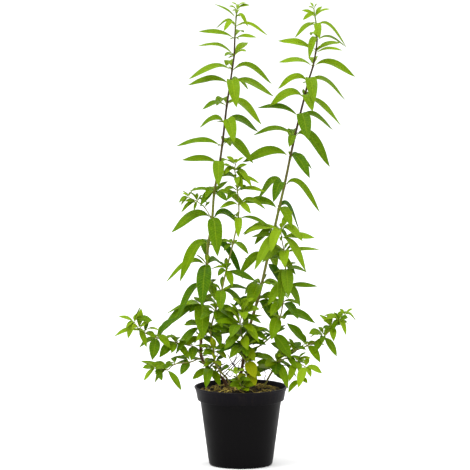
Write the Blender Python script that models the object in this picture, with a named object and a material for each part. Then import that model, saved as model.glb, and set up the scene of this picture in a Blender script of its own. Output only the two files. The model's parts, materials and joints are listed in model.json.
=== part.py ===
"""Lemon verbena in a 14 cm nursery pot: a shell of black plastic, its potting soil and six leafy stems.

Metres, +Z up. The origin is the middle of the pot's underside, and the photograph's camera looks along +Y.
"""
import math
import random

import bmesh
import bpy
import numpy as np
from mathutils import Matrix, Quaternion, Vector
from mathutils.bvhtree import BVHTree

MM = 0.001

# The pot
RIM_RADIUS = 70.0 * MM
RIM_HEIGHT = 118.5 * MM
BAND_FOOT_RADIUS = 65.0 * MM
BAND_DEPTH = 20.5 * MM
BODY_TOP_RADIUS = 61.0 * MM
FOOT_RADIUS = 47.8 * MM
FOOT_ROUNDING = 3.0 * MM
LIP = 1.3 * MM
WALL = 1.5 * MM
POT_FLOOR = 2.0 * MM
POT_SIDES = 36
DRAIN_HOLES = 6
DRAIN_RADIUS = 4.5 * MM
DRAIN_CIRCLE = 33.0 * MM

# The soil, whose waves are given in radians to the metre
GAP = 0.3 * MM
SOIL_EDGE = 111.0 * MM
SOIL_MOUND = 5.0 * MM
SOIL_UNEVEN = 0.9 * MM
SOIL_CROSS_WAVES = (310.0, 270.0)
SOIL_SLANT_WAVES = (150.0, -190.0)
SOIL_SLANT_SHARE = 0.7
SOIL_RINGS = 8
HOLE_ROOM = 0.4 * MM
HOLE_SIDES = 10

# The stems
STEM_FOOT = 78.0 * MM
LEAD_TOP = 2.0 * MM
STEM_SIDES = 6

# The blades, whose tables give the width that shows; a blade seen a little edge-on is fuller than that
FULLNESS = 1.14
BLADE_THICKNESS = 0.8 * MM
PETIOLE_WIDTH = 1.3 * MM
PETIOLE_THICKNESS = 0.9 * MM
PETIOLE_SHARE = 0.07
WIDE_STATIONS = (0.15, 0.42, 0.74)
NARROW_STATIONS = (0.22, 0.64)
NARROW_BELOW = 14.5 * MM
FOOT_POWER = 0.75
TIP_POWER = 0.9
LIFT_SHAPE = 4.6
LIFT_POWER = 1.5
MIDRIB_STEP = 0.02
ROOT_POINTS = 4
FACING = math.radians(32)
ROLL = math.radians(11)
SWAY = 0.06
FOLD = math.radians(16)
STAGGER = 0.6 * MM
FIRST_SEED = 11
CLEARANCE = 0.5 * MM
TURNS = (0, 7, -7, 14, -14, 21, -21, 28, -28, 36, -36)
LIFTS = (0, 8, -8)

# Each stem is a list of places from its foot to its tip, in millimetres: x, y, z and the leaves that grow
# there. A leaf is its tip's offset from the stem (x, y, z), its arch above that line, and its width.
LEFT_TALL_STEM = [
    (-22, 18, 118, []),
    (-27, 17, 127, []),
    (-37, 16, 135, [(12, -14, 8, 3, 8)]),
    (-46, 15, 141, [(-27, -12, -13, 4, 11), (-6, -50, -20, 12, 13)]),
    (-55, 14, 151, []),
    (-60, 13, 166, []),
    (-60, 12, 187, [(18, -20, -4, 6, 10)]),
    (-60, 11, 207, [(-38, -16, -40, 7, 16), (-24, 8, 6, 4, 10), (8, 30, -6, 8, 13), (26, -16, -18, 8, 13)]),
    (-58, 10, 240, [(-2, -36, -46, 16, 20), (-56, 14, -16, 7, 8), (-20, -12, -10, 4, 8), (34, 26, -18, 14, 15)]),
    (-55, 9, 266, [(-42, -10, -50, 22, 18), (18, 42, -26, 16, 17), (24, -26, -16, 9, 12)]),
    (-51, 8, 300, [(-62, 8, -26, 18, 17), (28, 30, -6, 10, 15), (-8, -38, -56, 20, 22)]),
    (-49, 6, 331, [(-44, -12, -54, 24, 19), (53, 10, -54, 24, 19), (-6, 46, -22, 18, 18)]),
    (-43, 4, 371, [(-62, 0, -20, 19, 16), (45, 14, -15, 18, 17), (8, -42, -50, 20, 21)]),
    (-40, 3, 410, [(-38, 10, 3, 6, 10), (-14, -20, -4, 10, 10), (20, 12, 18, 3, 9), (52, -10, -25, 14, 14),
                   (-8, 44, -8, 14, 16)]),
    (-32, 1, 455, [(-57, -2, 6, 7, 12), (22, 34, -4, 8, 13), (-4, -38, -28, 18, 17)]),
    (-28, 0, 483, [(-70, 0, 0, 9, 14), (47, -14, -25, 19, 17), (12, 46, -8, 14, 16)]),
    (-24, -1, 518, [(-37, 30, -12, 10, 14), (51, 10, -16, 14, 15), (17, -42, -24, 18, 18)]),
    (-21, -2, 544, [(-36, -30, -2, 8, 13), (52, -12, -28, 20, 16), (-14, 46, -6, 14, 16)]),
    (-16, -3, 577, [(-64, 2, -3, 9, 13), (66, 2, -20, 14, 15), (8, -40, -31, 20, 19), (27, 38, -14, 12, 13)]),
    (-13, -4, 598, [(-66, -4, -13, 13, 14), (60, 8, -22, 18, 13), (18, -12, 9, 2, 7), (-8, 46, 0, 14, 14)]),
    (-10, -4, 620, [(-55, 0, 14, 10, 11), (22, 26, 16, 6, 11), (20, -24, 10, 5, 8), (-16, -26, 2, 5, 8)]),
    (-9, -5, 646, [(-55, 2, 10, 5, 9), (32, -22, 4, 4, 8), (12, 40, 4, 9, 10)]),
    (-8, -5, 663, [(49, 6, -14, 12, 7), (-30, 18, -5, 12, 9), (-18, -24, -4, 13, 9)]),
    (-7, -5, 677, [(-33, 4, 20, 3, 6), (18, -10, -13, 12, 7), (4, 24, 8, 7, 7)]),
    (-6, -5, 688, [(20, -4, 8, 4, 5), (-12, -4, 7, 3, 5), (3, 12, 8, 2, 5)]),
    (-5, -5, 695, [(-9, -3, 5, 1, 4), (13, -4, 5, 2, 5)]),
]
LEFT_UPPER_SPRAY = [
    (-60, 13, 168, []),
    (-70, 13, 176, [(-3, -18, -18, 5, 12)]),
    (-97, 9, 183, [(-26, -14, -20, 5, 13), (16, -14, 6, 3, 9), (4, 22, 4, 5, 9)]),
    (-126, 4, 191, [(29, 6, 29, 4, 14), (-6, -16, -31, 6, 14), (-4, 22, -4, 6, 9)]),
    (-144, 1, 199, [(16, -10, -6, 4, 8), (4, 4, 24, 2, 7)]),
    (-153, -1, 205, [(4, 4, 31, 2, 9), (-38, -4, -10, 4, 9), (12, -10, -26, 4, 9), (18, 8, 14, 3, 8)]),
    (-160, -3, 216, [(-24, -2, 9, 2, 7), (4, 6, 13, 1, 6), (-13, -8, -8, 4, 6), (-10, -8, -24, 5, 9)]),
]
LEFT_LOWER_SPRAY = [
    (-59, 13, 160, []),
    (-76, 6, 154, [(-14, -12, -18, 4, 12), (-26, 8, -6, 4, 6)]),
    (-99, -2, 152, [(-30, -10, -14, 3, 9), (-4, 16, 8, 3, 8)]),
    (-111, -7, 144, [(22, -10, -30, 3, 10), (-40, 2, 14, 2, 8), (6, 14, 12, 3, 7)]),
    (-128, -11, 147, [(-18, -6, -18, 4, 7), (-14, 8, 9, 2, 6), (-6, -10, 8, 2, 6)]),
]
LEFT_AXIL_SHOOT = [
    (-44, 4, 372, []),
    (-54, 1, 389, [(-8, -10, 4, 2, 5)]),
    (-66, 0, 399, [(-4, -6, -14, 2, 5), (0, 8, 12, 2, 5)]),
    (-78, -1, 405, [(-12, -4, -12, 3, 6), (-10, 6, 6, 2, 5), (2, -4, 9, 1, 4)]),
]
MIDDLE_STEM = [
    (-14, 0, 118, []),
    (-21, -2, 130, []),
    (-31, -5, 142, [(14, -12, 8, 3, 10)]),
    (-39, -7, 156, [(-10, -14, 4, 3, 8), (18, -8, 12, 3, 10)]),
    (-41, -9, 174, [(22, -10, 6, 3, 12), (-16, -10, -6, 4, 10)]),
    (-45, -10, 204, [(16, -22, -22, 8, 14), (-18, -12, 4, 4, 12), (26, 4, 6, 5, 11)]),
    (-38, -12, 235, [(30, -8, 2, 4, 12), (-18, -12, 6, 4, 11), (6, -24, -22, 8, 14)]),
    (-29, -13, 264, [(-14, -8, 13, 3, 8), (42, 8, 2, 6, 13), (-2, -28, -26, 10, 16), (37, -16, -42, 14, 19)]),
    (-22, -14, 296, [(45, -6, -14, 3, 12), (2, -16, 14, 2, 14), (10, -18, -22, 6, 11), (-13, -12, -6, 5, 9)]),
    (-12, -15, 336, [(-22, -8, 4, 4, 9), (-14, -14, -8, 4, 8), (24, -12, -14, 8, 12), (-10, 18, 2, 5, 8)]),
    (-4, -15, 375, [(1, -28, -25, 10, 12), (49, -6, -11, 8, 8), (-14, 26, -4, 8, 10)]),
    (-3, -15, 396, [(-29, -6, -4, 5, 10), (41, 4, -8, 12, 10), (18, -24, -10, 6, 10)]),
    (-5, -14, 417, [(43, -8, 0, 5, 9), (-22, -16, 2, 6, 9), (2, 24, 4, 6, 9)]),
    (-7, -14, 434, [(36, -4, -5, 6, 9), (-24, 8, 3, 5, 8), (3, -26, -6, 8, 9)]),
    (-9, -14, 448, [(27, -8, -24, 9, 10), (-18, -8, -6, 6, 9), (-10, -10, 8, 3, 8), (12, -12, 8, 3, 8)]),
    (-8, -14, 458, [(-14, 2, 10, 2, 7), (14, 2, 10, 2, 7), (1, -10, 9, 2, 6)]),
]
RIGHT_TALL_STEM = [
    (-3, 20, 118, []),
    (0, 20, 132, []),
    (3, 19, 150, []),
    (6, 18, 172, [(-16, 14, 2, 4, 9)]),
    (11, 16, 198, [(20, 22, -6, 6, 11), (-18, 16, -2, 5, 10)]),
    (25, 12, 246, [(-28, 20, -12, 10, 14), (34, -14, -38, 10, 18), (26, 26, -14, 10, 14)]),
    (31, 10, 270, [(-22, -36, -32, 14, 22), (-26, 32, -20, 12, 16), (42, 18, -24, 14, 16)]),
    (40, 8, 311, [(-42, -16, -22, 16, 15), (14, 42, -22, 14, 16), (42, -22, -22, 16, 16)]),
    (49, 6, 350, [(-46, 14, -6, 14, 15), (20, 40, -18, 14, 16), (2, -38, -16, 13, 14)]),
    (57, 4, 386, [(-54, 14, 10, 9, 16), (32, 14, -36, 24, 18), (20, -36, -22, 14, 15)]),
    (65, 3, 421, [(-38, 14, -20, 20, 17), (-16, -34, -19, 18, 16), (54, 2, -40, 24, 15)]),
    (74, 2, 465, [(-72, -2, -7, 14, 17), (30, -34, -27, 14, 16), (32, 30, -22, 14, 15)]),
    (81, 1, 497, [(-64, -4, 2, 11, 16), (-8, -20, -14, 8, 12), (53, -2, -46, 24, 18), (-6, 46, -10, 14, 16)]),
    (88, 1, 527, [(-64, 2, 13, 8, 15), (12, -38, -31, 18, 20), (52, 24, -24, 12, 15)]),
    (95, 0, 555, [(-53, 2, -12, 16, 16), (10, -40, -15, 14, 16), (55, -12, -41, 12, 15), (10, 44, -10, 14, 15)]),
    (101, 0, 580, [(-46, 16, -13, 13, 14), (57, 12, -30, 17, 15), (8, -38, -28, 18, 18)]),
    (108, 0, 603, [(-52, -14, 8, 8, 13), (64, -2, -16, 14, 14), (0, 46, 0, 14, 14)]),
    (112, -1, 624, [(-57, 2, 17, 8, 12), (38, 22, 12, 7, 10), (40, -22, 6, 5, 10)]),
    (114, -1, 643, [(-14, -24, -25, 14, 11), (46, 4, -12, 11, 8), (-10, 38, 2, 11, 11)]),
    (113, -2, 665, [(-33, -6, -18, 10, 10), (45, 2, -32, 16, 10), (3, -28, -17, 12, 11)]),
    (111, -2, 678, [(23, -4, 12, 4, 7), (-20, 2, 10, 4, 6), (10, 10, 15, 3, 6), (-20, -10, -4, 6, 7)]),
    (109, -2, 691, [(5, -4, 8, 1, 4), (-5, 4, 8, 1, 4), (-8, -4, 3, 1, 4)]),
]
RIGHT_INNER_SHOOT = [
    (4, 19, 160, []),
    (16, 8, 171, []),
    (31, -4, 182, [(8, -16, 12, 4, 9)]),
    (47, -11, 198, [(28, -18, -34, 8, 16), (-20, -14, 8, 4, 12), (20, 14, 8, 4, 12)]),
    (58, -15, 222, [(54, 6, -6, 14, 15), (-14, -24, -28, 9, 16), (-8, 24, -4, 6, 13)]),
    (63, -17, 246, [(-32, 18, -10, 8, 14), (22, -22, -20, 9, 14), (-18, -20, -16, 8, 13)]),
    (66, -18, 272, [(50, 4, 0, 3, 9), (-24, -26, -24, 10, 15), (24, -18, -28, 11, 14)]),
    (67, -18, 298, [(33, 16, -6, 5, 12), (6, -32, -38, 12, 18), (-18, -24, -54, 14, 17)]),
    (65, -18, 324, [(54, 8, 4, 3, 12), (-36, 22, -14, 12, 14), (2, -34, -18, 12, 16), (-34, -12, -14, 9, 13)]),
    (61, -18, 346, [(-44, 16, 2, 3, 13), (50, -12, 2, 5, 13), (38, -20, -48, 14, 14), (-48, -24, -44, 18, 16)]),
    (60, -18, 358, [(-56, -8, -4, 7, 16), (18, 4, 28, 3, 13), (-22, -24, -30, 12, 15), (8, -18, 12, 3, 10),
                    (34, -14, -14, 12, 14)]),
]
RIGHT_LOW_SHOOT = [
    (36, 8, 118, []),
    (41, 5, 129, []),
    (48, 0, 142, [(-32, -14, -4, 7, 13), (-26, 12, 10, 5, 13), (16, 18, 4, 5, 12)]),
    (55, -6, 155, [(11, 6, 22, 2, 11), (-37, -8, 11, 4, 13), (-3, -20, -16, 7, 14), (19, -24, -22, 8, 13)]),
    (69, -10, 162, [(26, -14, -4, 5, 8), (6, 14, 8, 3, 7)]),
    (84, -17, 158, [(16, 14, -2, 4, 8), (6, -14, -18, 4, 8)]),
    (97, -22, 151, [(5, 2, 14, 1, 8), (25, -8, -9, 4, 10), (-20, -14, -28, 7, 11), (8, -10, -14, 4, 8)]),
]
RIGHT_UPPER_SPRAY = [
    (55, -6, 155, []),
    (64, -7, 166, [(-20, -8, 20, 3, 13), (8, 16, 14, 3, 10)]),
    (80, -8, 173, [(10, 18, 12, 3, 10), (-10, -14, 16, 3, 11)]),
    (99, -9, 181, [(-30, 4, 34, 3, 15), (28, 10, 0, 3, 10), (20, -14, -23, 6, 12), (-4, -16, 8, 3, 8)]),
    (124, -11, 195, [(-22, 12, -3, 7, 10), (21, -8, -28, 4, 10), (16, 12, 18, 3, 10), (-2, -16, -8, 4, 8)]),
    (137, -12, 209, [(2, -16, -18, 6, 10), (-20, 6, 20, 2, 9), (14, 14, 2, 4, 8)]),
    (147, -13, 220, [(-24, 12, 6, 4, 9), (10, -12, -21, 8, 9), (4, 10, 14, 2, 7)]),
    (156, -13, 229, [(-8, 4, 9, 1, 5), (13, -2, 9, 2, 6), (18, 6, -11, 6, 8), (0, -8, 6, 1, 4)]),
]
CENTRE_SHORT_SHOOT = [
    (12, -12, 118, []),
    (10, -14, 138, [(16, -12, 8, 3, 10), (-18, -10, 12, 3, 10)]),
    (8, -16, 158, [(28, -10, 12, 5, 13), (-18, -14, 22, 4, 13), (20, 6, 22, 4, 11)]),
    (5, -18, 178, [(34, -10, 8, 8, 13), (-38, -10, -4, 8, 13), (4, -28, -8, 9, 13)]),
    (2, -19, 196, [(40, -10, -4, 10, 14), (-42, -8, 4, 8, 12), (-26, -18, -16, 9, 13), (10, 20, 10, 6, 11)]),
    (-1, -20, 213, [(30, -16, -22, 10, 13), (-40, -4, 10, 7, 12), (-14, -26, -14, 10, 14), (34, 2, 16, 6, 11)]),
    (1, -21, 228, [(28, -10, 12, 6, 11), (-26, -10, 12, 6, 11), (4, -26, -2, 9, 13), (-4, 18, 10, 4, 9)]),
    (3, -21, 242, [(18, -4, 14, 2, 8), (-16, -6, 14, 2, 8), (4, -14, 16, 2, 8)]),
]
LEFT_BARE_TWIG = [
    (-27, 17, 128, []),
    (-14, 13, 143, []),
    (1, 9, 159, []),
]
RIGHT_BARE_TWIG = [
    (0, 20, 138, []),
    (-12, 15, 150, []),
    (-20, 11, 166, []),
]
FRONT_SHORT_SHOOT = [
    (2, -32, 118, []),
    (-2, -34, 130, [(16, -8, 4, 3, 8), (-14, -8, 3, 3, 8)]),
    (-7, -35, 142, [(-13, -6, 8, 3, 7), (13, -4, 8, 3, 7), (0, -14, 2, 4, 8), (-2, 8, 10, 2, 6)]),
]

# Each node of the model: its stem's route, radius at the foot and tip, and the side shoots that it carries.
STEMS = {
    "left_tall_stem": [(LEFT_TALL_STEM, 2.3, 0.8), (LEFT_UPPER_SPRAY, 1.1, 0.6),
                       (LEFT_LOWER_SPRAY, 1.1, 0.6), (LEFT_AXIL_SHOOT, 0.8, 0.6), (LEFT_BARE_TWIG, 0.9, 0.6)],
    "middle_stem": [(MIDDLE_STEM, 1.5, 0.7)],
    "right_tall_stem": [(RIGHT_TALL_STEM, 2.3, 0.8), (RIGHT_INNER_SHOOT, 1.3, 0.8),
                        (RIGHT_BARE_TWIG, 0.9, 0.6)],
    "right_low_shoot": [(RIGHT_LOW_SHOOT, 1.5, 0.7), (RIGHT_UPPER_SPRAY, 1.2, 0.6)],
    "centre_short_shoot": [(CENTRE_SHORT_SHOOT, 1.3, 0.7)],
    "front_short_shoot": [(FRONT_SHORT_SHOOT, 1.1, 0.7)],
}


def clear_scene():
    for item in list(bpy.data.objects):
        bpy.data.objects.remove(item)


def material(name, colour, roughness):
    finish = bpy.data.materials.new(name)
    finish.use_nodes = True
    shader = finish.node_tree.nodes["Principled BSDF"]
    shader.inputs["Base Color"].default_value = (*colour, 1.0)
    shader.inputs["Roughness"].default_value = roughness
    shader.inputs["Metallic"].default_value = 0.0
    return finish


def solid(name, points, faces, finish=None, smooth=40):
    """A named object from points and faces, shaded smooth below the given angle."""
    mesh = bpy.data.meshes.new(name)
    mesh.from_pydata([tuple(p) for p in points], [], faces)
    piece = bpy.data.objects.new(name, mesh)
    bpy.context.scene.collection.objects.link(piece)
    if finish:
        mesh.materials.append(finish)
    mesh.shade_smooth()
    mesh.set_sharp_from_angle(angle=math.radians(smooth))
    return piece


def turned(profile, sides):
    """Points and faces of a closed outline of (radius, height) turned about Z; its ends lie on the axis."""
    points = [(0.0, 0.0, profile[0][1])]
    for radius, height in profile[1:-1]:
        for k in range(sides):
            turn = 2 * math.pi * k / sides
            points.append((radius * math.cos(turn), radius * math.sin(turn), height))
    points.append((0.0, 0.0, profile[-1][1]))
    rings = len(profile) - 2
    last = len(points) - 1
    faces = []
    for k in range(sides):
        after = (k + 1) % sides
        faces.append((0, 1 + after, 1 + k))
        for ring in range(rings - 1):
            low = 1 + ring * sides
            faces.append((low + k, low + after, low + sides + after, low + sides + k))
        top = 1 + (rings - 1) * sides
        faces.append((top + k, top + after, last))
    return points, faces


def apply_boolean(piece, others, operation):
    """Joins or cuts a piece with the other objects, by way of a temporary collection, and removes them."""
    group = bpy.data.collections.new("tools")
    bpy.context.scene.collection.children.link(group)
    for other in others:
        group.objects.link(other)
    join = piece.modifiers.new(operation.title(), "BOOLEAN")
    join.operation = operation
    join.operand_type = "COLLECTION"
    join.collection = group
    graph = bpy.context.evaluated_depsgraph_get()
    result = bpy.data.meshes.new_from_object(piece.evaluated_get(graph))
    piece.modifiers.clear()
    piece.data = result
    for other in others:
        bpy.data.objects.remove(other)
    bpy.data.collections.remove(group)


def wall_radius(height):
    """Inside radius of the pot's wall at a height."""
    step = RIM_HEIGHT - BAND_DEPTH
    if height <= step:
        return FOOT_RADIUS + (BODY_TOP_RADIUS - FOOT_RADIUS) * height / step - WALL
    share = (height - step) / BAND_DEPTH
    return BAND_FOOT_RADIUS + (RIM_RADIUS - LIP - BAND_FOOT_RADIUS) * share - WALL


def make_pot():
    """The moulded shell, turned from its outline and drilled with a ring of drain holes."""
    step = RIM_HEIGHT - BAND_DEPTH
    profile = [(0.0, 0.0)]
    for k in range(4):
        turn = math.radians(-90 + 25 * k)
        profile.append((
            FOOT_RADIUS - FOOT_ROUNDING * (1 - math.cos(turn)),
            FOOT_ROUNDING * (1 + math.sin(turn)),
        ))
    profile += [
        (BODY_TOP_RADIUS, step - 1 * MM),
        (BAND_FOOT_RADIUS - 0.6 * MM, step),
        (BAND_FOOT_RADIUS, step + 0.8 * MM),
        (RIM_RADIUS - LIP, RIM_HEIGHT - 3.4 * MM),
        (RIM_RADIUS, RIM_HEIGHT - 2.4 * MM),
        (RIM_RADIUS, RIM_HEIGHT - 0.8 * MM),
        (RIM_RADIUS - 0.8 * MM, RIM_HEIGHT),
        (RIM_RADIUS - LIP - WALL, RIM_HEIGHT),
        (wall_radius(step + 2 * MM), step + 2 * MM),
        (wall_radius(step - 2 * MM), step + 0.6 * MM),
        (wall_radius(POT_FLOOR + 3 * MM), POT_FLOOR + 3 * MM),
        (wall_radius(POT_FLOOR) - 2.5 * MM, POT_FLOOR),
        (0.0, POT_FLOOR),
    ]
    black = material("black moulded plastic", (0.012, 0.011, 0.013), 0.55)
    pot = solid("pot", *turned(profile, POT_SIDES), black, 30)
    drills = []
    for k in range(DRAIN_HOLES):
        turn = 2 * math.pi * (k + 0.5) / DRAIN_HOLES
        outline = [
            (0.0, -2 * MM), (DRAIN_RADIUS, -2 * MM),
            (DRAIN_RADIUS, POT_FLOOR + 2 * MM), (0.0, POT_FLOOR + 2 * MM),
        ]
        drill = solid(f"drill {k}", *turned(outline, HOLE_SIDES))
        drill.location = (DRAIN_CIRCLE * math.cos(turn), DRAIN_CIRCLE * math.sin(turn), 0.0)
        drills.append(drill)
    bpy.context.view_layer.update()
    apply_boolean(pot, drills, "DIFFERENCE")
    pot.data.shade_smooth()
    pot.data.set_sharp_from_angle(angle=math.radians(30))
    return pot


def soil_height(x, y):
    """Height of the uneven soil: a low mound, with small hollows from crossing waves, less so at the wall."""
    reach = math.hypot(x, y) / wall_radius(SOIL_EDGE)
    cross = math.sin(x * SOIL_CROSS_WAVES[0] + 1.0) * math.sin(y * SOIL_CROSS_WAVES[1] + 0.5)
    slant = math.sin(x * SOIL_SLANT_WAVES[0] + y * SOIL_SLANT_WAVES[1] + 2.0)
    hollow = SOIL_UNEVEN * (cross + SOIL_SLANT_SHARE * slant) * (1 - reach / 2)
    return SOIL_EDGE + SOIL_MOUND * (1 - reach ** 2) + hollow


def tube(route, thick, sides):
    """Points and faces of a closed tube along a route, its rings carried along without a twist."""
    points = []
    faces = []
    across = Vector((0.0, 1.0, 0.0)) if abs(route[1].x - route[0].x) > abs(route[1].y - route[0].y) \
        else Vector((1.0, 0.0, 0.0))
    for k, (place, radius) in enumerate(zip(route, thick)):
        ahead = (route[min(k + 1, len(route) - 1)] - route[max(k - 1, 0)]).normalized()
        across = (across - ahead * across.dot(ahead)).normalized()
        other = ahead.cross(across)
        for side in range(sides):
            turn = 2 * math.pi * side / sides
            points.append(place + (across * math.cos(turn) + other * math.sin(turn)) * radius)
    for k in range(len(route) - 1):
        for side in range(sides):
            after = (side + 1) % sides
            low = k * sides
            faces.append((low + side, low + after, low + sides + after, low + sides + side))
    top = (len(route) - 1) * sides
    faces.append(tuple(reversed(range(sides))))
    faces.append(tuple(range(top, top + sides)))
    return points, faces


def stem_of(places, foot, tip, underground):
    """Route and radii of a stem that thins evenly; one that stands in the soil goes straight down."""
    route = [Vector(place[:3]) * MM for place in places]
    last = len(route) - 1
    radii = [(foot + (tip - foot) * k / last) * MM for k in range(last + 1)]
    if underground:
        x, y = route[0].x, route[0].y
        lead = [Vector((x, y, STEM_FOOT)), Vector((x, y, SOIL_EDGE - LEAD_TOP))]
        return lead + route, [radii[0], radii[0]] + radii
    return route, radii


def half_width(u):
    """Half width of a blade as a share of its greatest, from its foot at 0 to its tip at 1."""
    widest = FOOT_POWER / (FOOT_POWER + TIP_POWER)
    return (u / widest) ** FOOT_POWER * ((1 - u) / (1 - widest)) ** TIP_POWER


def blade(root, leaf, stations, grow=0.0):
    """Points and faces of a closed blade: a thin folded leaf on its petiole, arched from root to tip."""
    tip, arch, width, roll, sway = leaf
    side = Vector((tip.x, tip.y, 0.0)).normalized().cross(Vector((0.0, 0.0, 1.0)))

    def midrib(t):
        lift = arch * LIFT_SHAPE * t * (1 - t) ** LIFT_POWER
        return root + tip * t + Vector((0.0, 0.0, lift)) + side * sway * t * t

    places = [(0.0, PETIOLE_WIDTH / 2)]
    for u in stations:
        places.append((PETIOLE_SHARE + (1 - PETIOLE_SHARE) * u, width / 2 * half_width(u)))
    points = []
    for k, (t, spread) in enumerate(places):
        ahead = (midrib(min(t + MIDRIB_STEP, 1.0)) - midrib(max(t - MIDRIB_STEP, 0.0))).normalized()
        across = (side - ahead * side.dot(ahead)).normalized()
        across = Quaternion(ahead, roll) @ across
        up = across.cross(ahead)
        fold = FOLD if k else 0.0
        thick = (BLADE_THICKNESS if k else PETIOLE_THICKNESS) / 2 + grow
        reach = across * math.cos(fold) * (spread + grow)
        rise = up * math.sin(fold) * (spread + grow)
        middle = midrib(t)
        points += [middle - reach + rise, middle + up * thick, middle + reach + rise, middle - up * thick]
    points.append(midrib(1.0))
    last = len(points) - 1
    faces = [(0, 2, 1), (0, 3, 2)]
    for k in range(len(places) - 1):
        left, top, right, under = (4 * k + i for i in range(4))
        for inner in (top, under):
            for edge, flip in ((left, inner == top), (right, inner == under)):
                one = (edge, edge + 4, inner)
                two = (inner, edge + 4, inner + 4)
                faces += [one[::-1], two[::-1]] if flip else [one, two]
    left, top, right, under = (4 * (len(places) - 1) + i for i in range(4))
    faces += [(left, top, last), (top, right, last), (right, under, last), (under, left, last)]
    return points, faces


def turned_leaf(leaf, degrees, lift):
    """The leaf turned about the vertical through its root, with its tip lifted by some millimetres."""
    tip, arch, width, roll, sway = leaf
    turn = Matrix.Rotation(math.radians(degrees), 3, "Z")
    return turn @ tip + Vector((0.0, 0.0, lift * MM)), arch, width, roll, sway


class Room:
    """What stands already. A new blade keeps clear of it, but meets its own stem and whorl at its petiole."""

    def __init__(self):
        self.taken = []

    def add(self, name, points, faces, is_blade=False):
        low = np.min([tuple(p) for p in points], axis=0)
        high = np.max([tuple(p) for p in points], axis=0)
        whole = BVHTree.FromPolygons(points, faces)
        beyond = BVHTree.FromPolygons(points, beyond_petiole(faces)) if is_blade else None
        self.taken.append((name, low, high, whole, beyond))

    def free(self, name, points, faces):
        low = np.min([tuple(p) for p in points], axis=0)
        high = np.max([tuple(p) for p in points], axis=0)
        whole = BVHTree.FromPolygons(points, faces)
        beyond = BVHTree.FromPolygons(points, beyond_petiole(faces))
        for other, its_low, its_high, its_whole, its_beyond in self.taken:
            if (low > its_high).any() or (high < its_low).any():
                continue
            if other != name and whole.overlap(its_whole):
                return False
            if other == name and its_beyond and beyond.overlap(its_beyond):
                return False
        return True


def beyond_petiole(faces):
    """A blade's faces without those that meet its first points, at its root."""
    return [face for face in faces if min(face) >= ROOT_POINTS]


def leaves_of(places, draw):
    """The leaves in a stem's table, each with a small seeded roll about its midrib and a bend to one side."""
    leaves = []
    for x, y, z, tips in places:
        for dx, dy, dz, arch, width in tips:
            place = Vector((x, y, z)) * MM + Vector((0.0, 0.0, draw.uniform(-STAGGER, STAGGER)))
            tip = Vector((dx, dy, dz)) * MM
            roll = FACING * dx / math.hypot(dx, dy) + draw.uniform(-ROLL, ROLL)
            sway = draw.uniform(-SWAY, SWAY) * tip.length
            leaves.append((place, (tip, arch * MM, width * FULLNESS * MM, roll, sway)))
    return leaves


def make_stems(room):
    """Every leafy stem as one body: tubes first, then blades wherever they clear what stands already."""
    green = material("leaf green", (0.17, 0.35, 0.012), 0.5)
    shapes = {}
    for name, shoots in STEMS.items():
        shapes[name] = []
        for k, (places, foot, tip) in enumerate(shoots):
            route, thick = stem_of(places, foot, tip, k == 0)
            shape = tube(route, thick, STEM_SIDES)
            shapes[name].append(shape)
            room.add(name, *shape)
    for seed, (name, shoots) in enumerate(STEMS.items()):
        draw = random.Random(FIRST_SEED + seed)
        for places, _, _ in shoots:
            for place, leaf in leaves_of(places, draw):
                shape = placed_blade(room, name, place, leaf)
                if shape:
                    shapes[name].append(shape)
                    room.add(name, *shape, is_blade=True)
    for name, parts in shapes.items():
        stem = solid(name, *parts[0], green)
        others = [solid(f"{name} {k}", *part) for k, part in enumerate(parts[1:])]
        apply_boolean(stem, others, "UNION")
        keep_largest(stem)
        stem.data.shade_smooth()
        stem.data.set_sharp_from_angle(angle=math.radians(60))


def placed_blade(room, name, place, leaf):
    """The blade as its table has it, or turned and lifted by the least that clears its neighbours."""
    stations = NARROW_STATIONS if leaf[2] < NARROW_BELOW else WIDE_STATIONS
    for lift in LIFTS:
        for turn in TURNS:
            tried = turned_leaf(leaf, turn, lift)
            if room.free(name, *blade(place, tried, stations, CLEARANCE)):
                return blade(place, tried, stations)
    print("no room for a blade of", name, "at", tuple(place))
    return None


def keep_largest(piece):
    """Drops any loose scrap that the union leaves, and edges too short to matter."""
    shape = bmesh.new()
    shape.from_mesh(piece.data)
    bmesh.ops.dissolve_degenerate(shape, dist=1e-6, edges=shape.edges)
    shape.verts.ensure_lookup_table()
    groups = []
    seen = set()
    for start in shape.verts:
        if start in seen:
            continue
        group = {start}
        border = [start]
        while border:
            here = border.pop()
            for edge in here.link_edges:
                there = edge.other_vert(here)
                if there not in group:
                    group.add(there)
                    border.append(there)
        seen |= group
        groups.append(group)
    largest = max(groups, key=len)
    scraps = [v for v in shape.verts if v not in largest]
    bmesh.ops.delete(shape, geom=scraps, context="VERTS")
    bmesh.ops.triangulate(shape, faces=shape.faces)
    shape.to_mesh(piece.data)
    shape.free()


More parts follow.
